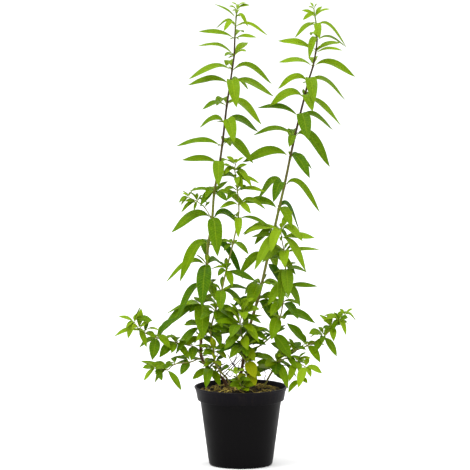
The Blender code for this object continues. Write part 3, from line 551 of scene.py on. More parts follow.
RIGHT_TALL_STEM = [
    (-3, 20, 118, []),
    (0, 20, 132, []),
    (3, 19, 150, []),
    (6, 18, 172, [(-16, 14, 2, 4, 9)]),
    (11, 16, 198, [(20, 22, -6, 6, 11), (-18, 16, -2, 5, 10)]),
    (25, 12, 246, [(-28, 20, -12, 10, 14), (34, -14, -38, 10, 18), (26, 26, -14, 10, 14)]),
    (31, 10, 270, [(-22, -36, -32, 14, 22), (-26, 32, -20, 12, 16), (42, 18, -24, 14, 16)]),
    (40, 8, 311, [(-42, -16, -22, 16, 15), (14, 42, -22, 14, 16), (42, -22, -22, 16, 16)]),
    (49, 6, 350, [(-46, 14, -6, 14, 15), (20, 40, -18, 14, 16), (2, -38, -16, 13, 14)]),
    (57, 4, 386, [(-54, 14, 10, 9, 16), (32, 14, -36, 24, 18), (20, -36, -22, 14, 15)]),
    (65, 3, 421, [(-38, 14, -20, 20, 17), (-16, -34, -19, 18, 16), (54, 2, -40, 24, 15)]),
    (74, 2, 465, [(-72, -2, -7, 14, 17), (30, -34, -27, 14, 16), (32, 30, -22, 14, 15)]),
    (81, 1, 497, [(-64, -4, 2, 11, 16), (-8, -20, -14, 8, 12), (53, -2, -46, 24, 18), (-6, 46, -10, 14, 16)]),
    (88, 1, 527, [(-64, 2, 13, 8, 15), (12, -38, -31, 18, 20), (52, 24, -24, 12, 15)]),
    (95, 0, 555, [(-53, 2, -12, 16, 16), (10, -40, -15, 14, 16), (55, -12, -41, 12, 15),
                  (10, 44, -10, 14, 15)]),
    (101, 0, 580, [(-46, 16, -13, 13, 14), (57, 12, -30, 17, 15), (8, -38, -28, 18, 18)]),
    (108, 0, 603, [(-52, -14, 8, 8, 13), (64, -2, -16, 14, 14), (0, 46, 0, 14, 14)]),
    (112, -1, 624, [(-57, 2, 17, 8, 12), (38, 22, 12, 7, 10), (40, -22, 6, 5, 10)]),
    (114, -1, 643, [(-14, -24, -25, 14, 11), (46, 4, -12, 11, 8), (-10, 38, 2, 11, 11)]),
    (113, -2, 665, [(-33, -6, -18, 10, 10), (45, 2, -32, 16, 10), (3, -28, -17, 12, 11)]),
    (111, -2, 678, [(23, -4, 12, 4, 7), (-20, 2, 10, 4, 6), (10, 10, 15, 3, 6), (-20, -10, -4, 6, 7)]),
    (109, -2, 691, [(5, -4, 8, 1, 4), (-5, 4, 8, 1, 4), (-8, -4, 3, 1, 4)]),
]
RIGHT_INNER_SHOOT = [
    (4, 19, 160, []),
    (16, 8, 171, []),
    (31, -4, 182, [(8, -16, 12, 4, 9)]),
    (47, -11, 198, [(28, -18, -34, 8, 16), (-20, -14, 8, 4, 12), (20, 14, 8, 4, 12)]),
    (58, -15, 222, [(54, 6, -6, 14, 15), (-14, -24, -28, 9, 16), (-8, 24, -4, 6, 13)]),
    (63, -17, 246, [(-32, 18, -10, 8, 14), (22, -22, -20, 9, 14), (-18, -20, -16, 8, 13)]),
    (66, -18, 272, [(50, 4, 0, 3, 9), (-24, -26, -24, 10, 15), (24, -18, -28, 11, 14)]),
    (67, -18, 298, [(33, 16, -6, 5, 12), (6, -32, -38, 12, 18), (-18, -24, -54, 14, 17)]),
    (65, -18, 324, [(54, 8, 4, 3, 12), (-36, 22, -14, 12, 14), (2, -34, -18, 12, 16),
                    (-34, -12, -14, 9, 13)]),
    (61, -18, 346, [(-44, 16, 2, 3, 13), (50, -12, 2, 5, 13), (38, -20, -48, 14, 14),
                    (-48, -24, -44, 18, 16)]),
    (60, -18, 358, [(-56, -8, -4, 7, 16), (18, 4, 28, 3, 13), (-22, -24, -30, 12, 15), (8, -18, 12, 3, 10),
                    (34, -14, -14, 12, 14)]),
]
RIGHT_LOW_SHOOT = [
    (36, 8, 118, []),
    (41, 5, 129, []),
    (48, 0, 142, [(-32, -14, -4, 7, 13), (-26, 12, 10, 5, 13), (16, 18, 4, 5, 12)]),
    (55, -6, 155, [(11, 6, 22, 2, 11), (-37, -8, 11, 4, 13), (-3, -20, -16, 7, 14), (19, -24, -22, 8, 13)]),
    (69, -10, 162, [(26, -14, -4, 5, 8), (6, 14, 8, 3, 7)]),
    (84, -17, 158, [(16, 14, -2, 4, 8), (6, -14, -18, 4, 8)]),
    (97, -22, 151, [(5, 2, 14, 1, 8), (25, -8, -9, 4, 10), (-20, -14, -28, 7, 11), (8, -10, -14, 4, 8)]),
]
RIGHT_UPPER_SPRAY = [
    (55, -6, 155, []),
    (64, -7, 166, [(-20, -8, 20, 3, 13), (8, 16, 14, 3, 10)]),
    (80, -8, 173, [(10, 18, 12, 3, 10), (-10, -14, 16, 3, 11)]),
    (99, -9, 181, [(-30, 4, 34, 3, 15), (28, 10, 0, 3, 10), (20, -14, -23, 6, 12), (-4, -16, 8, 3, 8)]),
    (124, -11, 195, [(-22, 12, -3, 7, 10), (21, -8, -28, 4, 10), (16, 12, 18, 3, 10), (-2, -16, -8, 4, 8)]),
    (137, -12, 209, [(2, -16, -18, 6, 10), (-20, 6, 20, 2, 9), (14, 14, 2, 4, 8)]),
    (147, -13, 220, [(-24, 12, 6, 4, 9), (10, -12, -21, 8, 9), (4, 10, 14, 2, 7)]),
    (156, -13, 229, [(-8, 4, 9, 1, 5), (13, -2, 9, 2, 6), (18, 6, -11, 6, 8), (0, -8, 6, 1, 4)]),
]
CENTRE_SHORT_SHOOT = [
    (12, -12, 118, []),
    (10, -14, 138, [(16, -12, 8, 3, 10), (-18, -10, 12, 3, 10)]),
    (8, -16, 158, [(28, -10, 12, 5, 13), (-18, -14, 22, 4, 13), (20, 6, 22, 4, 11)]),
    (5, -18, 178, [(34, -10, 8, 8, 13), (-38, -10, -4, 8, 13), (4, -28, -8, 9, 13)]),
    (2, -19, 196, [(40, -10, -4, 10, 14), (-42, -8, 4, 8, 12), (-26, -18, -16, 9, 13), (10, 20, 10, 6, 11)]),
    (-1, -20, 213, [(30, -16, -22, 10, 13), (-40, -4, 10, 7, 12), (-14, -26, -14, 10, 14),
                    (34, 2, 16, 6, 11)]),
    (1, -21, 228, [(28, -10, 12, 6, 11), (-26, -10, 12, 6, 11), (4, -26, -2, 9, 13), (-4, 18, 10, 4, 9)]),
    (3, -21, 242, [(18, -4, 14, 2, 8), (-16, -6, 14, 2, 8), (4, -14, 16, 2, 8)]),
]
LEFT_BARE_TWIG = [
    (-27, 17, 128, []),
    (-14, 13, 143, []),
    (1, 9, 159, []),
]
RIGHT_BARE_TWIG = [
    (0, 20, 138, []),
    (-12, 15, 150, []),
    (-20, 11, 166, []),
]
FRONT_SHORT_SHOOT = [
    (2, -32, 118, []),
    (-2, -34, 130, [(16, -8, 4, 3, 8), (-14, -8, 3, 3, 8)]),
    (-7, -35, 142, [(-13, -6, 8, 3, 7), (13, -4, 8, 3, 7), (0, -14, 2, 4, 8), (-2, 8, 10, 2, 6)]),
]

# Each plant piece: its stem's route, radius at the foot and tip, and the side shoots that it carries.
STEMS = {
    "left_tall_stem": [(LEFT_TALL_STEM, 2.3, 0.8), (LEFT_UPPER_SPRAY, 1.1, 0.6),
                       (LEFT_LOWER_SPRAY, 1.1, 0.6), (LEFT_AXIL_SHOOT, 0.8, 0.6), (LEFT_BARE_TWIG, 0.9, 0.6)],
    "middle_stem": [(MIDDLE_STEM, 1.5, 0.7)],
    "right_tall_stem": [(RIGHT_TALL_STEM, 2.3, 0.8), (RIGHT_INNER_SHOOT, 1.3, 0.8),
                        (RIGHT_BARE_TWIG, 0.9, 0.6)],
    "right_low_shoot": [(RIGHT_LOW_SHOOT, 1.5, 0.7), (RIGHT_UPPER_SPRAY, 1.2, 0.6)],
    "centre_short_shoot": [(CENTRE_SHORT_SHOOT, 1.3, 0.7)],
    "front_short_shoot": [(FRONT_SHORT_SHOOT, 1.1, 0.7)],
}


BLADE_THICKNESS = 0.8 * MM
PETIOLE_WIDTH = 1.3 * MM
PETIOLE_THICKNESS = 0.9 * MM
PETIOLE_SHARE = 0.07
WIDE_STATIONS = (0.15, 0.42, 0.74)
NARROW_STATIONS = (0.22, 0.64)
NARROW_BELOW = 14.5 * MM
LIFT_SHAPE = 4.6
LIFT_POWER = 1.5
MIDRIB_STEP = 0.02
FACING = math.radians(32)
ROLL = math.radians(11)
FOLD = math.radians(16)
CLEARANCE = 0.5 * MM
TURNS = (0, 7, -7, 14, -14, 21, -21, 28, -28, 36, -36)
LIFTS = (0, 8, -8)
STEM_SIDES = 6
FULLNESS = 1.14
STEM_FOOT = 78.0 * MM
LEAD_TOP = 2.0 * MM
STAGGER = 0.6
SWAY = 0.06
STEM_SEED = 11
LOW_SEED = 61
YOUNG_SEED = 91


def radii_of(count, foot, tip, power):
    """A stem's radius at each of its places; it thins evenly at a power of 1, and later at a higher one."""
    return [(foot + (tip - foot) * (k / (count - 1)) ** power) * MM for k in range(count)]


def smooth_route(points, radii, steps):
    """A Catmull-Rom curve through the points, with the radius eased from one to the next."""
    ends = [points[0] * 2 - points[1]] + points + [points[-1] * 2 - points[-2]]
    route = []
    thick = []
    for k in range(len(points) - 1):
        a, b, c, d = ends[k:k + 4]
        for step in range(steps):
            t = step / steps
            route.append(0.5 * (
                2 * b + (c - a) * t + (2 * a - 5 * b + 4 * c - d) * t ** 2 + (3 * b - a - 3 * c + d) * t ** 3
            ))
            thick.append(radii[k] + (radii[k + 1] - radii[k]) * t)
    return route + [points[-1]], thick + [radii[-1]]


def stem_of(places, foot, tip, underground, steps, power=1.0):
    """Route and thickness of a stem; one that stands in the soil goes straight down its hole."""
    points = [Vector(place[:3]) * MM for place in places]
    radii = radii_of(len(points), foot, tip, power)
    route, thick = smooth_route(points, radii, steps)
    if underground:
        x, y = points[0].x, points[0].y
        lead = [Vector((x, y, STEM_FOOT)), Vector((x, y, SOIL_EDGE - LEAD_TOP))]
        return lead + route, [radii[0], radii[0]] + thick
    return route, thick


def frames_along(route):
    """For each place of a route, its direction ahead and two directions across it, without a twist."""
    across = Vector((0.0, 1.0, 0.0)) if abs(route[1].x - route[0].x) > abs(route[1].y - route[0].y) \
        else Vector((1.0, 0.0, 0.0))
    frames = []
    for k in range(len(route)):
        ahead = (route[min(k + 1, len(route) - 1)] - route[max(k - 1, 0)]).normalized()
        across = (across - ahead * across.dot(ahead)).normalized()
        frames.append((ahead, across, ahead.cross(across)))
    return frames


def tube(route, thick, sides):
    """Points and faces of the solids' plain tube, to test leaves against."""
    points = []
    faces = []
    for place, radius, (_, across, other) in zip(route, thick, frames_along(route)):
        for side in range(sides):
            turn = 2 * math.pi * side / sides
            points.append(place + (across * math.cos(turn) + other * math.sin(turn)) * radius)
    for k in range(len(route) - 1):
        for side in range(sides):
            after = (side + 1) % sides
            low = k * sides
            faces.append((low + side, low + after, low + sides + after, low + sides + side))
    return points, faces


def leaf_midrib(root, leaf, t):
    """A place on a leaf's midrib, from its root at 0 to its tip at 1."""
    tip, arch, _, _, sway = leaf
    flat = Vector((tip.x, tip.y, 0.0)).normalized()
    side = flat.cross(Vector((0.0, 0.0, 1.0)))
    lift = arch * LIFT_SHAPE * t * (1 - t) ** LIFT_POWER
    return root + tip * t + Vector((0.0, 0.0, lift)) + side * sway * t * t


def leaf_frame(root, leaf, t, twist=0.0):
    """Place on the midrib, and the directions across the leaf and up from it, rolled and twisted."""
    tip = leaf[0]
    side = Vector((tip.x, tip.y, 0.0)).normalized().cross(Vector((0.0, 0.0, 1.0)))
    after = leaf_midrib(root, leaf, min(t + MIDRIB_STEP, 1.0))
    ahead = (after - leaf_midrib(root, leaf, max(t - MIDRIB_STEP, 0.0))).normalized()
    across = (side - ahead * side.dot(ahead)).normalized()
    across = Quaternion(ahead, leaf[3] + twist * t) @ across
    return leaf_midrib(root, leaf, t), across, across.cross(ahead)


def half_width(u):
    """A blade's half width as a share of its greatest, from its foot at 0 to its tip at 1."""
    return 3.117 * u ** 0.75 * (1 - u) ** 0.9


def fine_half_width(u):
    """The same for the finished leaf, which runs out to a longer, finer point."""
    return 4.276 * u * (1 - u) ** 1.10


def blade(root, leaf, stations, grow=0.0):
    """Points and faces of the solids' plain blade, to test a leaf against what stands already."""
    width = leaf[2]
    places = [(0.0, PETIOLE_WIDTH / 2)]
    places += [(PETIOLE_SHARE + (1 - PETIOLE_SHARE) * u, width / 2 * half_width(u)) for u in stations]
    points = []
    for k, (t, spread) in enumerate(places):
        middle_point, across, up = leaf_frame(root, leaf, t)
        fold = FOLD if k else 0.0
        thick = (BLADE_THICKNESS if k else PETIOLE_THICKNESS) / 2 + grow
        reach = across * math.cos(fold) * (spread + grow)
        rise = up * math.sin(fold) * (spread + grow)
        points += [middle_point - reach + rise, middle_point + up * thick,
                   middle_point + reach + rise, middle_point - up * thick]
    points.append(leaf_midrib(root, leaf, 1.0))
    last = len(points) - 1
    faces = [(0, 2, 1), (0, 3, 2)]
    for k in range(len(places) - 1):
        left, top, right, under = (4 * k + i for i in range(4))
        for inner in (top, under):
            for edge, flip in ((left, inner == top), (right, inner == under)):
                one = (edge, edge + 4, inner)
                two = (inner, edge + 4, inner + 4)
                faces += [one[::-1], two[::-1]] if flip else [one, two]
    left, top, right, under = (4 * (len(places) - 1) + i for i in range(4))
    faces += [(left, top, last), (top, right, last), (right, under, last), (under, left, last)]
    return points, faces


class Room:
    """What stands already. A new blade keeps clear of it, but meets its own stem and whorl at its petiole."""

    def __init__(self):
        self.taken = []

    def add(self, name, points, faces, is_blade=False):
        """Takes up the place of a solid that belongs to a piece."""
        low = np.min([tuple(p) for p in points], axis=0)
        high = np.max([tuple(p) for p in points], axis=0)
        whole = BVHTree.FromPolygons(points, faces)
        beyond = BVHTree.FromPolygons(points, beyond_petiole(faces)) if is_blade else None
        self.taken.append((name, low, high, whole, beyond))

    def free(self, name, points, faces):
        """Whether a blade of a piece has its place to itself."""
        low = np.min([tuple(p) for p in points], axis=0)
        high = np.max([tuple(p) for p in points], axis=0)
        whole = BVHTree.FromPolygons(points, faces)
        beyond = BVHTree.FromPolygons(points, beyond_petiole(faces))
        for other, its_low, its_high, its_whole, its_beyond in self.taken:
            if (low > its_high).any() or (high < its_low).any():
                continue
            if other != name and whole.overlap(its_whole):
                return False
            if other == name and its_beyond and beyond.overlap(its_beyond):
                return False
        return True


def beyond_petiole(faces):
    """A blade's faces without the first ones, where leaves of a whorl meet."""
    return [face for face in faces if min(face) >= 4]


def turned_leaf(leaf, degrees, lift):
    """The leaf turned about its stem and lifted by some millimetres."""
    tip, arch, width, roll, sway = leaf
    turn = Matrix.Rotation(math.radians(degrees), 3, "Z")
    return turn @ tip + Vector((0.0, 0.0, lift * MM)), arch, width, roll, sway


def placed_leaf(room, name, place, leaf, lifts=LIFTS, turns=TURNS):
    """The leaf as its table has it, or turned and lifted by the least that clears its neighbours."""
    stations = NARROW_STATIONS if leaf[2] < NARROW_BELOW else WIDE_STATIONS
    for lift in lifts:
        for turn in turns:
            tried = turned_leaf(leaf, turn, lift)
            if room.free(name, *blade(place, tried, stations, CLEARANCE)):
                room.add(name, *blade(place, tried, stations), is_blade=True)
                return tried
    return None


room = Room()
for name in ("pot", "potting_soil"):
    mesh = frame["nodes"][name].data
    room.add(name, [v.co.copy() for v in mesh.vertices], [tuple(p.vertices) for p in mesh.polygons])
for name, shoots in STEMS.items():
    for k, (places, foot, tip) in enumerate(shoots):
        room.add(name, *tube(*stem_of(places, foot, tip, k == 0, 1), STEM_SIDES))
grown = {name: [] for name in STEMS}
for seed, (name, shoots) in enumerate(STEMS.items()):
    draw = random.Random(seed + STEM_SEED)
    for places, _, _ in shoots:
        for order, (x, y, z, tips) in enumerate(places):
            for dx, dy, dz, arch, width in tips:
                width *= FULLNESS
                place = Vector((x, y, z + draw.uniform(-STAGGER, STAGGER))) * MM
                tip = Vector((dx, dy, dz)) * MM
                roll = FACING * dx / math.hypot(dx, dy) + draw.uniform(-ROLL, ROLL)
                sway = draw.uniform(-SWAY, SWAY) * tip.length
                leaf = placed_leaf(room, name, place, (tip, arch * MM, width * MM, roll, sway))
                if leaf:
                    youth = order / (len(places) - 1)
                    grown[name].append((place, leaf, youth, 0.0))

# Smaller leaves that crowd the lower half of the plant, and the pairs of tiny ones in the leaf joints above.
# The first are listed, some with how far they have yellowed; the rest grow by rule where there is room.
LOW_STAGGER = 3.0
LOW_LEAVES = {
    "centre_short_shoot": [
        (8, -16, 158, [(16, -16, -22, 5, 16, 0.8), (-27, -10, 29, 3, 12), (14, -18, 12, 4, 11, 0.3)]),
        (10, -14, 138, [(12, -16, -14, 4, 14, 0.9), (-10, -18, -10, 4, 12, 0.6), (24, -8, -6, 4, 11, 0.3)]),
        (5, -18, 178, [(-32, -22, -12, 6, 12, 0.1), (16, -24, -16, 6, 13, 0.3), (26, -18, 16, 4, 10, 0.1)]),
        (2, -19, 196, [(-44, -14, 14, 4, 10), (22, -22, -14, 6, 12, 0.2), (-34, -8, 24, 3, 9),
                       (36, -14, 14, 4, 10)]),
        (-1, -20, 213, [(-46, -12, 10, 4, 9), (-34, -18, -26, 8, 13), (14, -26, -6, 6, 12, 0.1),
                        (-44, -8, -2, 5, 9), (42, -12, -10, 7, 11), (-20, -14, 26, 3, 9)]),
        (1, -21, 228, [(-38, -12, 6, 4, 10), (10, -18, 20, 3, 9), (30, -8, -8, 5, 10),
                       (-42, -6, -6, 5, 9), (-18, -10, 22, 3, 8), (22, -12, 20, 3, 9)]),
    ],
    "front_short_shoot": [
        (2, -32, 121, [(-19, -6, 1, 3, 12, 0.1), (18, -6, 1, 3, 12, 0.2), (-5, -14, -1, 3, 11, 0.1),
                       (10, -12, 6, 3, 10, 0.2), (-16, 3, 9, 3, 10), (14, 5, 9, 3, 10, 0.1)]),
        (-2, -34, 130, [(8, -12, 9, 2, 8, 0.1), (-10, -6, 10, 2, 8), (10, 8, 8, 2, 8)]),
    ],
    "left_tall_stem": [
        (-46, 15, 141, [(18, -24, -20, 4, 11), (8, -12, 11, 2, 8), (-8, -14, 11, 3, 8, 0.1)]),
        (-66, 0, 399, [(-24, -8, -14, 7, 7), (-20, -6, 4, 3, 7), (-10, -10, 13, 2, 6),
                       (9, -8, 13, 2, 6), (16, -6, -4, 4, 6)]),
        (-78, -1, 405, [(-15, -6, -14, 5, 7), (-10, -8, 8, 2, 6), (10, -8, 7, 2, 5)]),
        (-60, 13, 166, [(20, -18, 2, 4, 9, 0.1), (10, -22, 12, 3, 9), (-16, -16, 6, 3, 8, 0.1)]),
        (-60, 12, 187, [(-22, -16, -8, 4, 9, 0.2), (14, -14, 14, 3, 9, 0.1), (-12, -20, 10, 4, 8)]),
        (-60, 11, 207, [(-26, -14, 4, 3, 10), (16, -22, 2, 4, 10)]),
        (-97, 9, 183, [(20, -14, -22, 3, 10), (-12, -18, -12, 4, 9), (-6, 12, 12, 2, 7)]),
        (-160, -3, 216, [(28, -6, 0, 4, 10), (10, -8, 24, 2, 9)]),
        (-126, 4, 191, [(-26, -10, -14, 5, 12), (20, -14, -16, 5, 11)]),
        (-111, -7, 144, [(-18, -14, 4, 3, 10), (-16, -10, -22, 4, 10, 0.1)]),
        (-128, -11, 147, [(-24, -8, 4, 3, 9), (10, -12, -16, 4, 9)]),
        (-58, 10, 236, [(-60, -18, -34, 14, 17), (-34, -22, 8, 6, 12)]),
        (-40, 3, 410, [(-24, -22, -16, 7, 11), (26, -22, -6, 6, 10)]),
    ],
    "middle_stem": [
        (-9, -14, 448, [(-14, -14, 10, 3, 10), (18, -8, 10, 3, 10), (20, -8, -14, 5, 11)]),
        (-7, -14, 434, [(14, -16, -12, 5, 11), (-22, -12, 10, 3, 10), (2, -16, 16, 3, 9)]),
        (-5, -14, 417, [(-16, -18, -10, 4, 10), (14, -16, 8, 3, 10)]),
        (-41, -9, 174, [(-2, -12, 25, 2, 9, 0.7), (-15, -10, 15, 2, 9, 0.2), (20, -16, -8, 4, 10, 0.2)]),
        (-39, -7, 156, [(-8, -14, 18, 2, 8, 0.6), (-14, -14, 6, 3, 9, 0.2), (4, -18, -6, 4, 10, 0.4)]),
        (-45, -10, 204, [(-20, -16, -12, 5, 11, 0.1), (22, -14, 14, 4, 10), (0, -22, 10, 4, 10)]),
        (-38, -12, 235, [(34, -16, -20, 8, 13), (-24, -10, -10, 5, 11)]),
    ],
    "right_tall_stem": [
        (3, 19, 150, [(18, -18, 8, 3, 10, 0.3), (22, -12, 20, 3, 9, 0.3)]),
        (6, 18, 172, [(16, -20, 12, 3, 10, 0.5), (-20, -14, 6, 3, 9, 0.6), (20, 8, 8, 3, 9, 0.1)]),
        (11, 16, 198, [(-18, -20, 8, 4, 11, 0.4), (22, -16, 4, 4, 10, 0.1), (6, -26, -10, 5, 12, 0.1)]),
        (25, 12, 246, [(-34, -22, -8, 8, 14), (30, -22, 8, 6, 12)]),
        (40, 7, 306, [(22, -22, -32, 6, 15), (-30, -20, 12, 4, 11)]),
        (50, 5, 355, [(-48, -20, -2, 9, 13), (-30, -12, -22, 8, 12)]),
    ],
    "right_low_shoot": [
        (48, 0, 142, [(22, -20, -12, 4, 12, 0.1), (-22, -18, 10, 4, 11, 0.3), (4, -20, 14, 3, 10)]),
        (55, -6, 155, [(16, -26, -36, 6, 11), (24, -10, 12, 3, 11), (-26, -14, -10, 5, 12, 0.2)]),
        (69, -10, 162, [(14, -18, -14, 4, 10), (-6, -16, 12, 3, 8), (18, 4, 14, 2, 8)]),
        (84, -17, 158, [(-12, -14, -20, 4, 10, 0.1), (14, -10, 14, 2, 8)]),
        (90, -26, 133, [(-19, -8, -19, 2, 12, 0.1), (10, -10, -6, 2, 7)]),
        (124, -11, 195, [(-22, -14, 4, 5, 12), (-14, -8, -22, 4, 10)]),
        (147, -13, 220, [(-8, -10, 16, 2, 9), (14, -10, 0, 3, 9), (-6, -12, -20, 4, 9)]),
        (137, -12, 209, [(22, -8, 8, 3, 10), (-14, -14, 2, 3, 9)]),
    ],
}
for seed, (name, places) in enumerate(LOW_LEAVES.items()):
    draw = random.Random(seed + LOW_SEED)
    for x, y, z, tips in places:
        for dx, dy, dz, arch, width, *yellowing in tips:
            place = Vector((x, y, z + draw.uniform(-LOW_STAGGER, LOW_STAGGER))) * MM
            tip = Vector((dx, dy, dz)) * MM
            roll = FACING * dx / math.hypot(dx, dy) + draw.uniform(-ROLL, ROLL)
            leaf = placed_leaf(room, name, place, (tip, arch * MM, width * FULLNESS * MM, roll, 0.0))
            if leaf:
                grown[name].append((place, leaf, 0.1, yellowing[0] if yellowing else 0.0))

YOUNG_BELOW = 330
CROWDED_TRIES = 4
CROWDED_LENGTH = (16, 30)
TOP_TRIES = 2
TOP_LENGTH = (7, 15)
YOUNG_LEAN = (-20, 50)
YOUNG_WIDTH = (0.26, 0.36)
YOUNG_ARCH = (0.05, 0.16)
OPEN_FROM = Vector((-36, -60, 120)) * MM
OPEN_TO = Vector((2, 60, 168)) * MM
for seed, (name, shoots) in enumerate(STEMS.items()):
    draw = random.Random(seed + YOUNG_SEED)
    for places, _, _ in shoots:
        for order, (x, y, z, tips) in enumerate(places[:-1]):
            crowded = tips and z < YOUNG_BELOW
            for _ in range(CROWDED_TRIES if crowded else TOP_TRIES if tips else 0):
                heading = draw.uniform(-math.pi, math.pi)
                length = draw.uniform(*(CROWDED_LENGTH if crowded else TOP_LENGTH))
                lean = math.radians(draw.uniform(*YOUNG_LEAN))
                tip = Vector((math.cos(heading) * math.cos(lean), math.sin(heading) * math.cos(lean),
                              math.sin(lean))) * length * MM
                width = length * draw.uniform(*YOUNG_WIDTH) * MM
                arch = length * draw.uniform(*YOUNG_ARCH) * MM
                place = Vector((x, y, z + draw.uniform(-1.0, 4.0))) * MM
                roll = FACING * math.cos(heading) + draw.uniform(-ROLL, ROLL)
                end = place + tip
                if all(OPEN_FROM[k] < end[k] < OPEN_TO[k] for k in range(3)):
                    continue
                leaf = placed_leaf(room, name, place, (tip, arch, width, roll, 0.0), (0,), (0, 14, -14))
                if leaf:
                    grown[name].append((place, leaf, order / (len(places) - 1), draw.uniform(0.0, 0.2)))

# The bark. A shoot is green and soft at its tip, turns purple-brown, then olive, and is tan wood at its foot;
# it is lightly ribbed, and swells at every joint where leaves sit.
BARK_SIDES = 12
BARK_STEPS = 8
WOOD_FOOT = 118.0 * MM
WOOD_TOP = 700.0 * MM
WOOD_POWER = 1.6
JOINT_SWELL = 0.22
JOINT_REACH = 1.6 * MM
RIBS = 6
RIB_HEIGHT = 0.05

bark, out = new_material("verbena bark")
# Young bark is smooth and green to plum; old bark is dry, tan and streaked lengthways with grey-brown.
place = node(bark, "ShaderNodeTexCoord").outputs["Object"]
drawn = node(bark, "ShaderNodeMapping", {"Vector": place, "Scale": (1.0, 1.0, 0.10)}).outputs[0]
grain = grains(bark, drawn, 1.1 * MM, 4.0, 0.65)
shifted = maths(bark, "MULTIPLY_ADD", grains(bark, place, 11 * MM, 3.0), 0.16, attribute(bark, "youth"))
aged = ramp(
    bark, maths(bark, "SUBTRACT", shifted, 0.08), (0.02, "#5a3c24"), (0.12, "#6f5630"), (0.22, "#7a7736"),
    (0.46, "#6c7226"), (0.58, "#4d451b"), (0.68, "#35260f"), (0.88, "#3c2f12"), (0.95, "#56661c"),
    (0.99, "#7d9a2e"),
)
dark = span(bark, grain, 0.30, 0.70, 0.62, 1.18)
streaked = node(bark, "ShaderNodeVectorMath", {0: aged, "Scale": dark}, operation="SCALE")
surface(bark, out, streaked.outputs["Vector"], 0.62, 0.15, bumpy(bark, grain, 0.6, 0.25 * MM))


def rod(shape, route, thick, sides, swollen=None):
    """Adds a closed round rod; swollen(at, v) tells how much wider it is at a place and a turn."""
    frames = frames_along(route)
    last = len(route) - 1

    def skin(u, v):
        here = int(round(u * (last + 2))) - 1
        at = max(0, min(here, last))
        wide = 0.0 if here in (-1, last + 1) else thick[at] * (swollen(at, v) if swollen else 1.0)
        _, across, other = frames[at]
        turn = 2 * math.pi * v
        return route[at] + (across * math.cos(turn) + other * math.sin(turn)) * wide

    return mapped_grid(shape, last + 2, sides, skin)


def make_bark(name, shoots):
    """One piece with a node's main stem and its side shoots."""
    shape = bmesh.new()
    youth = shape.verts.layers.float.new("youth")
    for k, (places, foot, tip) in enumerate(shoots):
        route, thick = stem_of(places, foot, tip, k == 0, BARK_STEPS, WOOD_POWER)
        joints = [Vector(place[:3]) * MM for place in places if place[3]]

        def swollen(at, v):
            nearest = min([(route[at] - joint).length for joint in joints] or [1.0])
            swell = 1.0 + JOINT_SWELL * math.exp(-(nearest / JOINT_REACH) ** 2)
            return swell * (1.0 + RIB_HEIGHT * math.cos(RIBS * 2 * math.pi * v))

        for vert in rod(shape, route, thick, BARK_SIDES, swollen):
            share = (vert.co.z - WOOD_FOOT) / (WOOD_TOP - WOOD_FOOT)
            main = k == 0 and len(places) > 20
            vert[youth] = min(1.0, max(0.0, share if main else 0.22 + 0.4 * share))
    bmesh.ops.remove_doubles(shape, verts=shape.verts, dist=2e-6)
    bmesh.ops.recalc_face_normals(shape, faces=shape.faces)
    made = piece_from(name + "_bark", shape, [bark])
    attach(made, "root")
    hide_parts(name)


for name, shoots in STEMS.items():
    make_bark(name, shoots)

# Dry twigs of earlier years: thin, bare and nearly black, they fork and hook between the feet of the stems.
# The longest are listed, in millimetres; the rest start anywhere on the stems' feet and bend at random.
DRY_TWIGS = [
    [(-31, -5, 141), (-22, 0, 146), (-12, 5, 154), (-1, 9, 165)],
    [(-28, -4, 138), (-18, 1, 145), (-8, 6, 157), (-6, 9, 170)],
    [(0, 20, 134), (-6, 13, 140), (-10, 9, 150), (-8, 7, 162)],
    [(0, 20, 132), (-4, 14, 139), (-3, 10, 149), (3, 8, 160)],
    [(-22, -3, 139), (-17, -1, 133), (-13, 1, 136), (-14, 2, 143)],
    [(-13, 5, 152), (-9, 8, 146), (-11, 10, 138), (-7, 12, 135)],
    [(-40, -8, 160), (-33, -6, 170), (-26, -8, 182), (-21, -9, 192)],
    [(-39, -7, 154), (-44, -9, 161), (-52, -11, 160), (-58, -12, 166)],
    [(30, 11, 180), (38, 6, 186), (46, 2, 194), (54, -2, 197)],
    [(55, -6, 150), (62, -9, 152), (71, -11, 151), (80, -13, 153)],
    [(38, 7, 122), (36, 2, 130), (38, -2, 137), (35, -6, 143)],
    [(97, -22, 149), (95, -24, 143), (92, -26, 138), (90, -26, 133)],
]
SPARE_TWIGS = 34
TWIG_FOOT = 0.85
TWIG_TIP = 0.45
TWIG_STEPS = 4
TWIG_SIDES = 6
TWIG_SEED = 77

dead_wood, out = new_material("dead twig bark")
# Dead bark has gone dark brown to nearly black, and stays matt.
place = node(dead_wood, "ShaderNodeTexCoord").outputs["Object"]
worn = grains(dead_wood, place, 4 * MM, 3.0)
surface(dead_wood, out, ramp(dead_wood, worn, (0.0, "#140c06"), (1.0, "#3d2815")), 0.8, 0.12)

